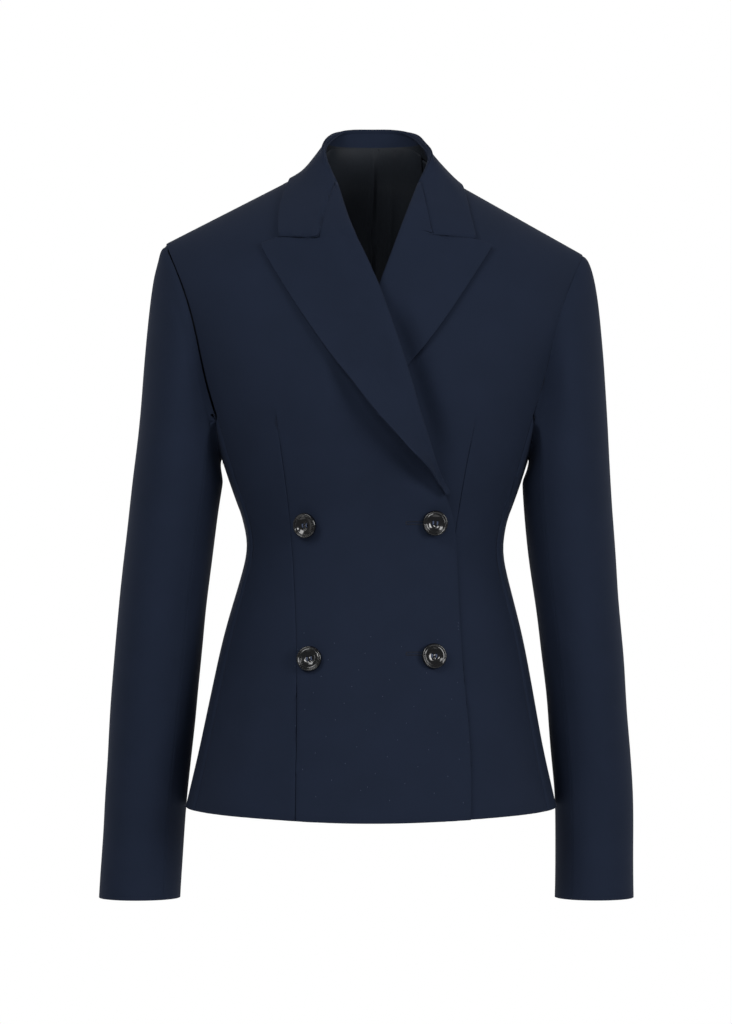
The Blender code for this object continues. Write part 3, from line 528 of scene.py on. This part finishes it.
def grain_uv(piece, node):
    """Cloth coordinates in metres: across and along the grain."""
    mesh = piece.data
    layer = mesh.uv_layers.get("grain") or mesh.uv_layers.new(name="grain")
    places = read_places(mesh)
    x, y, z = places.T / MM
    if node.startswith("sleeve"):
        word = node.split("_")[1]
        centres = np.array([sleeve_centre(p, word) for p in places])
        inner = -1 if word == "right" else 1
        across = np.arctan2(y - centres[:, 1], inner * (x - centres[:, 0])) * SLEEVE_TUBE
        along = z
    elif node == "collar":
        radius, axis = COLLAR_TUBE
        across = np.arctan2(x, axis - y) * radius
        along = z + COLLAR_LEAN * y
    elif node.startswith("lapel"):
        lean = math.radians(LAPEL_LEAN if node.endswith("right") else -LAPEL_LEAN)
        across = x * math.cos(lean) + z * math.sin(lean)
        along = z * math.cos(lean) - x * math.sin(lean)
    elif node.startswith("back"):
        radius, axis = BACK_TUBE
        across = np.arctan2(x, y - axis) * radius
        along = z
    else:
        radius, axis = FRONT_TUBE
        across = np.arctan2(x, axis - y) * radius
        along = z
    flat = np.column_stack([across, along]) * MM
    corners = np.empty(len(mesh.loops), int)
    mesh.loops.foreach_get("vertex_index", corners)
    layer.data.foreach_set("uv", flat[corners].reshape(-1))


EDGE_LEVELS = (-580, 0, 10.0)  # heights at which a free edge is read
EDGE_BAND = 25  # from the points this near to the height


def edge_reader(node, side):
    """Free edge of a front by height: its outermost vertex in each band."""
    places = np.array([v.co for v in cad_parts[node].data.vertices]) / MM
    levels = np.arange(*EDGE_LEVELS)
    levels = [z for z in levels if (np.abs(places[:, 2] - z) < EDGE_BAND).any()]
    far = [side * (side * places[np.abs(places[:, 2] - z) < EDGE_BAND, 0]).max() for z in levels]
    return lambda z: np.interp(z, levels, far)


def choose_lining(piece, node):
    """Wool where the inside is facing, hem or cuff; lining elsewhere on the inside."""
    for face in piece.data.polygons:
        if face.material_index != INNER:
            face.material_index = 0
            continue
        x, _, z = face.center / MM
        if node.startswith("sleeve"):
            face.material_index = int(z > CUFF_Z + CUFF_TURN)
        elif node in ("collar", "lapel_right", "lapel_left"):
            face.material_index = 0
        else:
            lined = z > HEM_Z + HEM_TURN
            if node.startswith("front"):
                lined = lined and abs(x - EDGES[node](z)) > FACING_WIDTH
            face.material_index = int(lined)


EDGES = {"front_right": edge_reader("front_right", 1), "front_left": edge_reader("front_left", -1)}
ROUNDED = math.radians(50)  # an edge beyond this is rounded
DART_FADE = 14.0  # a dart's groove runs out over this length
LEAST_ROUNDING = 0.04  # the share of the rounding that is left at a dart's tip


def round_edges(piece, width, dart_tip=None, closed=()):
    """Rounds the sharp edges of a wall, but not those closed against a neighbour.

    The groove of a dart runs out softly towards its tip.
    """
    bm = bmesh.new()
    bm.from_mesh(piece.data)
    weight = bm.edges.layers.float.new("bevel_weight_edge")
    for edge in bm.edges:
        if edge.calc_face_angle(0.0) > ROUNDED:
            if any(vert.index in closed for vert in edge.verts):
                continue
            middle = (edge.verts[0].co + edge.verts[1].co) / 2
            near = (middle - dart_tip).length / (DART_FADE * MM) if dart_tip else 1.0
            edge[weight] = min(max(near, LEAST_ROUNDING), 1.0)
    bm.to_mesh(piece.data)
    bm.free()
    bevel = piece.modifiers.new("turned_edge", "BEVEL")
    bevel.width = width * MM
    bevel.segments = 2
    bevel.limit_method = "WEIGHT"
    bevel.use_clamp_overlap = False
    apply_modifiers(piece)


BODY_SHARE = 0.6  # the torso's two rims at a seam each move a little over half of the way
SEAM_PASSES = 3  # and again, because slanting rims meet at one edge first
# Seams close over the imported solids' gaps: piece, its neighbours, its share of the way, reach in mm
SEAMS = (
    ("front_right", ("side_right", "back_right"), BODY_SHARE, 3.0),
    ("front_left", ("side_left", "back_left"), BODY_SHARE, 3.0),
    ("side_right", ("front_right", "back_right"), BODY_SHARE, 3.0),
    ("side_left", ("front_left", "back_left"), BODY_SHARE, 3.0),
    ("back_right", ("side_right", "back_left", "front_right"), BODY_SHARE, 3.0),
    ("back_left", ("side_left", "back_right", "front_left"), BODY_SHARE, 3.0),
    ("sleeve_right_top", ("sleeve_right_under",), 0.5, 1.2),
    ("sleeve_right_under", ("sleeve_right_top",), 0.5, 1.2),
    ("sleeve_left_top", ("sleeve_left_under",), 0.5, 1.2),
    ("sleeve_left_under", ("sleeve_left_top",), 0.5, 1.2),
    ("sleeve_right_top", ("front_right", "back_right", "side_right"), 1.0, 4.2),
    ("sleeve_right_under", ("front_right", "back_right", "side_right"), 1.0, 4.2),
    ("sleeve_left_top", ("front_left", "back_left", "side_left"), 1.0, 4.2),
    ("sleeve_left_under", ("front_left", "back_left", "side_left"), 1.0, 4.2),
    ("collar", ("lapel_right", "lapel_left"), None, 2.2),
)
GORGE = {"right": 1.0, "left": 0.93}  # the collar's share of the way to the lapel
NOTCH = {"right": 50.0, "left": 56.0}  # further out than this it meets the lapel less closely
NOTCH_SHARE = 0.72
GORGE_FLAT = -52.0  # on the right the gorge is pressed flat up to here
GORGE_REACH = 3  # as far as its points lie this near to the collar
DART_REACH = 0.6  # the two sides of a dart meet over this gap
DART_LEVEL = 0.1  # two points face each other across a dart if they are this level, and this far apart
DART_GAP = (0.06, 0.42)  # and keep this much between them, at the tip and further down
DART_OPENS = 24.0  # the gap grows over this length
DART_LINES = []  # height and x along each dart, the upper front's first


def rim_points(piece):
    mesh = piece.data
    return sorted({v for face in mesh.polygons if face.material_index == RIM for v in face.vertices})


def collar_share(place):
    hand = "left" if place.x > 0 else "right"
    return NOTCH_SHARE if abs(place.x / MM) > NOTCH[hand] else GORGE[hand]


def close_rows(cloth, rims, rows):
    """Moves the rims of some seams towards their neighbours and returns the collar's moved points."""
    trees = {node: surface_tree(piece.data) for node, piece in cloth.items()}
    moves = []
    for node, mates, share, reach in rows:
        mesh = cloth[node].data
        for v in rims[node]:
            place = mesh.vertices[v].co
            near = [trees[mate].find_nearest(place, reach * MM) for mate in mates]
            near = [hit for hit in near if hit[0] is not None]
            if near:
                hit = min(near, key=lambda found: found[3])
                part = collar_share(place) if node == "collar" else share
                moves.append((node, v, (hit[0] - place) * part))
    for node, v, shift in moves:
        cloth[node].data.vertices[v].co += shift
    return trees, {v for node, v, shift in moves if node == "collar"}


def close_seams(cloth):
    """Brings neighbouring rims together, so that a seam is a groove and not a slit."""
    rims = {node: rim_points(piece) for node, piece in cloth.items()}
    trees, collar_points = close_rows(cloth, rims, SEAMS)
    for _ in range(SEAM_PASSES):
        close_rows(cloth, rims, [row for row in SEAMS if row[2] == BODY_SHARE])
    tips = {node: close_dart(cloth[node].data, rims[node]) for node in ("front_right", "front_left")}
    mesh = cloth["lapel_right"].data
    beside = [v for v in rims["lapel_right"] if mesh.vertices[v].co.x > GORGE_FLAT * MM]
    pressed = {v for v in beside if trees["collar"].find_nearest(mesh.vertices[v].co, GORGE_REACH * MM)[0]}
    return tips, {"collar": collar_points, "lapel_right": pressed}


def close_dart(mesh, rim):
    """Brings a dart's two sides together and returns the place of its tip."""
    tree = KDTree(len(rim))
    for k, v in enumerate(rim):
        tree.insert(mesh.vertices[v].co, k)
    tree.balance()
    middles = {}
    for v in rim:
        place = mesh.vertices[v].co
        for other, k, gap in tree.find_range(place, DART_REACH * MM):
            if abs(other.x - place.x) > DART_LEVEL * MM and abs(other.z - place.z) < DART_LEVEL * MM:
                middles[v] = (place + other) / 2
    tip = max(middles.values(), key=lambda place: place.z)
    DART_LINES.append(sorted((place.z / MM, place.x / MM) for place in middles.values()))
    narrow, wide = DART_GAP
    for v, middle in middles.items():
        gap = narrow + (wide - narrow) * min((tip - middle).length / (DART_OPENS * MM), 1.0)
        side = math.copysign(gap / 2 * MM, mesh.vertices[v].co.x - middle.x)
        mesh.vertices[v].co = middle + Vector((side, 0, 0))
    return tip


def make_cloth():
    """All the wool pieces, from fine copies to finished cloth."""
    cloth = {node: fine_copy(node, "cloth_" + node) for node in WOOL_NODES}
    for node, piece in cloth.items():
        drape(piece, node)
        nudge(piece, node)
    press_lapel(cloth["lapel_right"], cloth["front_right"])
    for node, piece in cloth.items():
        hollow(piece, node)
    tips, sewn = close_seams(cloth)
    for node, piece in cloth.items():
        round_edges(piece, EDGE_ROUND, tips.get(node), sewn.get(node, ()))
        grain_uv(piece, node)
        choose_lining(piece, node)
        piece.data.materials.append(WOOL)
        piece.data.materials.append(LINING)
        piece.data.shade_smooth()
        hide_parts(node)
        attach(piece, "root")
    return cloth


CLOTH = make_cloth()


FACES_IN = -0.1  # a face whose way out is less than this looks inwards


def line_collar(piece):
    """Below the level seam inside the neck the collar's stand is covered by the lining."""
    bm = bmesh.new()
    bm.from_mesh(piece.data)
    bm.normal_update()
    stand = [f for f in bm.faces if f.normal.dot(way_out(f.calc_center_median(), "collar")) < FACES_IN]
    edges = dict.fromkeys(edge for face in stand for edge in face.edges)
    points = dict.fromkeys(vert for face in stand for vert in face.verts)
    level = Vector((0, 0, NECK_SEAM_Z * MM))
    parts = [*stand, *edges, *points]
    bmesh.ops.bisect_plane(bm, geom=parts, plane_co=level, plane_no=(0, 0, 1), dist=CUT_NEAR)
    bm.normal_update()
    for face in bm.faces:
        middle = face.calc_center_median()
        at_back = middle.z < level.z and middle.y > STAND_LINED_Y * MM
        if at_back and face.normal.dot(way_out(middle, "collar")) < FACES_IN:
            face.material_index = 1
    bm.to_mesh(piece.data)
    bm.free()


line_collar(CLOTH["collar"])


LINING_RISE = 6.0  # above this height the lining runs back to meet the collar's seam
RISE_CURVE = 1.6
LINING_CLEAR = 0.7  # it lies this far in front of the collar's stand
LINING_BELOW = 0.3  # and its top this far below the seam
LINING_REACH = 9.0  # and moves at most this far
PROBE_BELOW = 0.4  # the stand is felt for this far below the seam, from in front
PROBE_Y = -20
TOP_READINGS, TOP_BAND = 40, 4  # the lining's top is read at so many places, within this distance
FOLDS_FROM, FOLDS_FADE = 24, 60  # its folds start at this height and are full this far below

PLEAT_RUN = ((40, 1.9), (2, 1.7), (-18, 1.2), (-30, -0.6), (-44, -1.2), (-60, 0.4), (-120, 0.0))  # z, x
PLEAT_LIP, PLEAT_DEEP = 1.5, 2.6  # its edge stands forward, and it falls back beside it
LIP_BEFORE, LIP_BEHIND = 3.0, 0.9  # half widths of the lip on its two sides
DEEP_AT, DEEP_HALF = 3.2, 2.4
SLACK = ((9.0, 1.0, 3.2), (18.5, -1.7, 2.6), (27.0, 1.1, 4.0), (-24.0, -0.5, 9.0))  # x, way back, half width
SLACK_LEAN = 0.018  # the slack folds run this much sideways as they rise
FOLD_COLUMNS = ((-6.0, 12.0, 0.75), (12.0, 34.0, 1.5))  # fine columns, from x to x, and their width


def lining_fold(x, z):
    """How far back the lining lies by its ease pleat, folded to the wearer's left, and its slack folds."""
    heights, run = zip(*reversed(PLEAT_RUN))
    off = x - float(np.interp(z, heights, run))
    lip = -PLEAT_LIP * math.exp(-((off / (LIP_BEFORE if off < 0 else LIP_BEHIND)) ** 2))
    deep = PLEAT_DEEP * math.exp(-(((off - DEEP_AT) / DEEP_HALF) ** 2)) if off > 0 else 0.0
    slack = sum(back * math.exp(-(((x - SLACK_LEAN * z - at) / half) ** 2)) for at, back, half in SLACK)
    return lip + deep + slack


def divide_pleat(mesh):
    """Gives the lining fine columns where its folds are."""
    bm = bmesh.new()
    bm.from_mesh(mesh)
    for x in (x for columns in FOLD_COLUMNS for x in np.arange(*columns)):
        parts = [*bm.faces, *bm.edges, *bm.verts]
        place = Vector((x, 0, 0)) * MM
        bmesh.ops.bisect_plane(bm, geom=parts, plane_co=place, plane_no=(1, 0, 0), dist=CUT_NEAR)
    bm.to_mesh(mesh)
    bm.free()


def make_lining():
    """The back neck lining: it is sewn to the collar's level seam, and hangs with slack in soft folds."""
    piece = fine_copy("back_lining", "satin_back_lining")
    mesh = piece.data
    divide_pleat(mesh)
    stand = surface_tree(CLOTH["collar"].data)
    places = np.array([vertex.co for vertex in mesh.vertices]) / MM
    across = np.linspace(places[:, 0].min() + 1, places[:, 0].max() - 1, TOP_READINGS)
    tops = [places[np.abs(places[:, 0] - x) < TOP_BAND, 2].max() for x in across]
    for vertex in mesh.vertices:
        x, y, z = vertex.co / MM
        top = float(np.interp(x, across, tops))
        rise = min(max((z - LINING_RISE) / max(top - LINING_RISE, 4), 0), 1) ** RISE_CURVE
        hit = stand.ray_cast(Vector((x, PROBE_Y, NECK_SEAM_Z - PROBE_BELOW)) * MM, Vector((0, 1, 0)))
        if hit[0] is not None:
            back = min(max(hit[0].y / MM - LINING_CLEAR - y, -LINING_REACH), LINING_REACH)
            up = min(NECK_SEAM_Z - LINING_BELOW - top, LINING_REACH)
            y, z = y + back * rise, z + up * rise
        drop = min(max((FOLDS_FROM - z) / FOLDS_FADE, 0), 1)
        y += lining_fold(x, z) * drop
        vertex.co = Vector((x, y, z)) * MM
    grain_uv(piece, "back")
    piece.data.materials.append(LINING)
    for face in piece.data.polygons:
        face.material_index = 0
    piece.data.shade_smooth()
    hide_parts("back_lining")
    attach(piece, "root")
    return piece


SATIN = make_lining()


# ---------------------------------------------------------------- buttons

# The face from the edge inwards, as radius and height over the back: rim, groove, ridge, hollow middle
BUTTON_FACE = (
    (11.25, 2.75), (10.95, 3.25), (10.5, 3.52), (10.05, 3.5), (9.65, 3.2), (9.3, 2.82), (8.95, 2.75),
    (8.6, 2.95), (8.25, 2.95), (7.5, 2.55), (6.7, 2.13), (5.9, 1.76), (5.1, 1.45), (4.2, 1.2),
)
BUTTON_BACK = ((11.1, 0.35), (10.6, 0.08), (10.0, 0.0))
BUTTON_EDGE = (0.9, 2.2)  # heights between which the edge is straight
HOLE_ROUND = 0.22  # rounding of the holes' edges
STRANDS = ((-0.4, 0.03), (0.0, -0.04), (0.4, 0.04))  # of one thread bar: shift and lean
BAR_HEIGHT, BAR_FLAT = 1.2, 0.5  # height of a bar's middle, and how flat its loop is
SHANK_RADIUS, SHANK_THREAD = 1.35, 0.36
SHANK_TURNS, SHANK_TOP, SHANK_STEP = 4, -0.35, 0.42
SHANK_TILT = (0.08, 0.1)
# How each one hangs on its shank: shift x, z and out, the way it faces sideways and up in degrees, spin
BUTTON_HANG = {
    "button_top_right": (2.2, 1.5, 2.6, -26, -3, 4),
    "button_top_left": (-2.0, 1.5, 2.9, 5, -1, -7),
    "button_low_right": (1.0, -0.9, 0.6, -9, 6, 9),
    "button_low_left": (-1.7, -1.4, 0.9, 12, 5, -3),
}


def step_in(steps, radius, height, sign):
    """Insets the selected end face of a button through a list of (radius, height) steps."""
    for next_radius, next_height in steps:
        bpy.ops.mesh.inset(thickness=(radius - next_radius) * MM, depth=sign * (next_height - height) * MM)
        radius, height = next_radius, next_height


def select_end(mesh, front):
    bpy.ops.object.mode_set(mode="OBJECT")
    for face in mesh.polygons:
        face.select = abs(face.normal.z) > 0.99 and (face.normal.z > 0) == front and len(face.vertices) > 8
    bpy.ops.object.mode_set(mode="EDIT")


def make_button_body(name):
    low, high = BUTTON_EDGE
    bpy.ops.object.select_all(action="DESELECT")
    bpy.ops.mesh.primitive_cylinder_add(
        vertices=72, radius=BUTTON_RADIUS * MM, depth=(high - low) * MM,
        location=(0, 0, (high + low) / 2 * MM),
    )
    body = bpy.context.active_object
    body.name = name
    bpy.ops.object.transform_apply()
    bpy.ops.object.mode_set(mode="EDIT")
    bpy.ops.mesh.select_mode(type="FACE")
    select_end(body.data, True)
    step_in(BUTTON_FACE, BUTTON_RADIUS, high, 1)
    select_end(body.data, False)
    step_in(BUTTON_BACK, BUTTON_RADIUS, low, -1)
    bpy.ops.object.mode_set(mode="OBJECT")
    for x, y in hole_places():
        bpy.ops.object.select_all(action="DESELECT")
        bpy.ops.mesh.primitive_cylinder_add(
            vertices=24, radius=HOLE_RADIUS * MM, depth=8 * MM, location=(x * MM, y * MM, 1.5 * MM)
        )
        cutter = bpy.context.active_object
        cut = body.modifiers.new("hole", "BOOLEAN")
        cut.operation, cut.solver, cut.object = "DIFFERENCE", "EXACT", cutter
        apply_modifiers(body)
        bpy.data.objects.remove(cutter)
    soften = body.modifiers.new("hole_edge", "BEVEL")
    soften.width, soften.segments = HOLE_ROUND * MM, 2
    soften.limit_method, soften.angle_limit = "ANGLE", math.radians(60)
    apply_modifiers(body)
    body.data.shade_smooth()
    body.data.materials.append(HORN)
    return body


def hole_places():
    wide, tall = (spread / 2 for spread in HOLE_SPREAD)
    return [(x, y) for x in (-wide, wide) for y in (-tall, tall)]


def make_button_threads(name):
    """Two bars of thread over the face, each of three strands, and the wound shank behind."""
    parts = []
    wide, tall = (spread / 2 for spread in HOLE_SPREAD)
    for column in (-wide, wide):
        for strand, lean in STRANDS:
            bpy.ops.object.select_all(action="DESELECT")
            bpy.ops.mesh.primitive_torus_add(
                major_segments=28, minor_segments=8, major_radius=tall * MM, minor_radius=THREAD * MM,
                location=((column + strand) * MM, 0, BAR_HEIGHT * MM), rotation=(0, math.radians(90), lean),
            )
            ring = bpy.context.active_object
            ring.scale = (BAR_FLAT, 1.0, 1.0)
            parts.append(ring)
    tilt, lean = SHANK_TILT
    for turn in range(SHANK_TURNS):
        bpy.ops.object.select_all(action="DESELECT")
        bpy.ops.mesh.primitive_torus_add(
            major_segments=20, minor_segments=8, major_radius=SHANK_RADIUS * MM,
            minor_radius=SHANK_THREAD * MM, location=(0, 0, (SHANK_TOP - SHANK_STEP * turn) * MM),
            rotation=(tilt * (-1) ** turn, lean, 0),
        )
        parts.append(bpy.context.active_object)
    bpy.ops.object.select_all(action="DESELECT")
    for part in parts:
        part.select_set(True)
    bpy.context.view_layer.objects.active = parts[0]
    bpy.ops.object.transform_apply()
    bpy.ops.object.join()
    made = bpy.context.active_object
    made.name = name
    made.data.shade_smooth()
    made.data.materials.append(SEWING_THREAD)
    return made


def button_frame(node):
    """Turns a button made flat, its face up along +Z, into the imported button's place."""
    places = np.array([v.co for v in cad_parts[node].data.vertices])
    middle = (places.min(axis=0) + places.max(axis=0)) / 2
    axis = np.linalg.svd(places - places.mean(axis=0), full_matrices=False)[2][2]
    axis = axis if axis[1] < 0 else -axis
    back = ((places - middle) @ axis).min()
    shift_x, shift_z, out, sideways, rise, spin = BUTTON_HANG[node]
    sideways, rise = math.radians(sideways), math.radians(rise)
    level = math.cos(rise)
    facing = Vector((math.sin(sideways) * level, -math.cos(sideways) * level, math.sin(rise)))
    base = Vector(middle + axis * (back + out * MM)) + Vector((shift_x, 0, shift_z)) * MM
    up = (Vector((0, 0, 1)) - facing * facing.z).normalized()
    upright = Matrix((up.cross(facing), up, facing)).transposed().to_4x4()
    return Matrix.Translation(base) @ upright @ Matrix.Rotation(math.radians(spin), 4, "Z")


def make_buttons():
    for node in BUTTON_NODES:
        body = make_button_body("horn_" + node)
        threads = make_button_threads("thread_" + node)
        place = button_frame(node)
        for piece in (body, threads):
            piece.data.transform(place)
            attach(piece, "root")
        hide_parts(node)


make_buttons()


# ---------------------------------------------------------------- buttonholes and pick stitches

HOLE_RUN = (30.7, 59.7)  # from x to x; the button covers its outer end
HOLE_LEVELS = {"button_top_left": -320.6, "button_low_left": -439.5}
HOLE_HALF = 1.25  # half the width between the two stitched edges
PURL = (0.62, 0.36, 0.26)  # half length across the edge, half width, half height
PURL_STEP = 0.8
PURL_LIFT = 0.05
ROUND_END = np.radians(np.arange(-60, 61, 30))  # where the stitches of a buttonhole's end lie
PICK = (0.5, 0.26, 0.22)  # as the same three sizes, along the dart
PICK_BESIDE, PICK_STEP = 1.6, 3.0  # from the dart, and along it
PICK_FROM, PICK_TO = -410.0, -574.0
FAR_FRONT = -0.3  # a place in front of the whole garment, in metres


def on_front(tree, x, z):
    """Place and outward normal of the upper front's face at x and z, in millimetres."""
    hit = tree.ray_cast(Vector((x * MM, FAR_FRONT, z * MM)), Vector((0, 1, 0)))
    return hit[0], hit[1]


def make_stitches(name, beads, size, material):
    """A row of small rounded stitches: each lies at a place, along a direction, on a surface normal."""
    bpy.ops.object.select_all(action="DESELECT")
    bpy.ops.mesh.primitive_uv_sphere_add(segments=8, ring_count=6, radius=MM)
    first = bpy.context.active_object
    shape = first.data.copy()
    for place, along, normal in beads:
        across = normal.cross(along).normalized()
        along = across.cross(normal)
        axes = [axis * part for axis, part in zip((along, across, normal), size)]
        turned = Matrix(axes).transposed().to_4x4()
        stitch = link(name, shape.copy())
        stitch.data.transform(Matrix.Translation(place) @ turned)
        stitch.select_set(True)
    bpy.data.objects.remove(first)
    bpy.context.view_layer.objects.active = bpy.context.selected_objects[0]
    bpy.ops.object.join()
    made = bpy.context.active_object
    made.name = name
    made.data.shade_smooth()
    made.data.materials.append(material)
    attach(made, "root")


def hole_outline(level):
    """Points round a buttonhole, with the way out of it: two level edges, with rounded ends."""
    start, end = HOLE_RUN
    points = []
    for x in np.arange(start + HOLE_HALF, end - HOLE_HALF, PURL_STEP):
        points += [(x, level + HOLE_HALF, 0, 1), (x, level - HOLE_HALF, 0, -1)]
    for turn in ROUND_END:
        for middle, side in ((start + HOLE_HALF, -1), (end - HOLE_HALF, 1)):
            way = (side * math.cos(turn), math.sin(turn))
            points.append((middle + way[0] * HOLE_HALF, level + way[1] * HOLE_HALF, *way))
    return points


def make_sewing():
    tree = surface_tree(CLOTH["front_right"].data)
    for node, level in HOLE_LEVELS.items():
        beads = []
        for x, z, way_x, way_z in hole_outline(level):
            place, normal = on_front(tree, x, z)
            if place is not None:
                beads.append((place + normal * PURL_LIFT * MM, Vector((way_x, 0, way_z)), normal))
        make_stitches("hole_" + node, beads, PURL, HOLE_THREAD)
    heights, run = zip(*DART_LINES[0])
    beads = []
    for z in np.arange(PICK_TO, PICK_FROM, PICK_STEP):
        x = float(np.interp(z, heights, run)) - PICK_BESIDE
        place, normal = on_front(tree, x, z)
        if place is not None:
            beads.append((place, Vector((0, 0, 1)), normal))
    make_stitches("pick_stitches_dart", beads, PICK, SEWING_THREAD)


make_sewing()


# ---------------------------------------------------------------- camera, light, floor

CAMERA_DISTANCE = 3.0
FRAME_HEIGHT = 1024 * 0.944 * MM  # what the picture's height covers at the shoulders' depth
CAMERA_X, CAMERA_Z = -5.7 * MM, -310.6 * MM
SENSOR = 24.0
ROOM_LIGHT = 0.2  # of the wall's
WALL_STARTS, WALL_FULL = -0.1, 0.75  # the world brightens between these ways towards the wall
LIT_PLACE = (0, 0, -0.3)  # the middle of the garment, which all four lights face
SOFTBOXES = (
    # name, place and width and height in metres, power
    ("key", (2.1, -2.1, 0.35), (1.0, 1.3), 42),
    ("fill", (-1.5, -2.2, 1.3), (1.3, 1.2), 36),
    ("front", (0.0, -3.1, 0.55), (0.8, 0.5), 16),
    ("strip", (-2.4, -1.7, -0.2), (0.14, 1.8), 4),
)
FLOOR_RADIUS, FLOOR_Z = 1.1, -1.38
FLOOR_MOTTLE = 8.0  # 125 mm


def add_camera():
    data = bpy.data.cameras.new("camera")
    data.sensor_fit = "VERTICAL"
    data.sensor_height = SENSOR
    data.lens = SENSOR * CAMERA_DISTANCE / FRAME_HEIGHT
    camera = link("camera", data)
    camera.location = (CAMERA_X, -CAMERA_DISTANCE, CAMERA_Z)
    camera.rotation_euler = (math.radians(90), 0, 0)
    bpy.context.scene.camera = camera


def add_softbox(name, place, size, power):
    data = bpy.data.lights.new(name, "AREA")
    data.shape = "RECTANGLE"
    data.size, data.size_y = size
    data.energy = power
    lamp = link(name, data)
    lamp.location = place
    lamp.rotation_euler = (Vector(LIT_PLACE) - Vector(place)).to_track_quat("-Z", "Y").to_euler()


def add_studio():
    """A white wall behind, a darker room in front, four softboxes and a pale floor."""
    world = bpy.data.worlds.new("white_studio")
    world.use_nodes = True
    tree = world.node_tree
    place = add(tree, "TexCoord")
    parts = add(tree, "SeparateXYZ", [("Vector", place.outputs["Generated"])])
    wall = add(tree, "MapRange", [("Value", parts.outputs["Y"])], interpolation_type="SMOOTHSTEP")
    ramp = {"From Min": WALL_STARTS, "From Max": WALL_FULL, "To Min": ROOM_LIGHT, "To Max": 1.0}
    for key, value in ramp.items():
        wall.inputs[key].default_value = value
    tree.links.new(wall.outputs["Result"], tree.nodes["Background"].inputs["Color"])
    bpy.context.scene.world = world
    bpy.context.scene.view_settings.view_transform = "Standard"
    for box in SOFTBOXES:
        add_softbox(*box)
    bpy.ops.object.select_all(action="DESELECT")
    bpy.ops.mesh.primitive_circle_add(
        vertices=96, radius=FLOOR_RADIUS, fill_type="NGON", location=(0, 0, FLOOR_Z)
    )
    floor = bpy.context.active_object
    floor.name = "studio_floor"
    made, tree, shader = new_material("pale_floor", Roughness=0.9)
    place = add(tree, "TexCoord")
    mottle = add(tree, "TexNoise", [("Vector", place.outputs["Object"])], scale=FLOOR_MOTTLE)
    two_tone(tree, shader, mottle.outputs["Fac"], "#F4F4F4", "#F8F8F8")
    floor.data.materials.append(made)


add_camera()
add_studio()
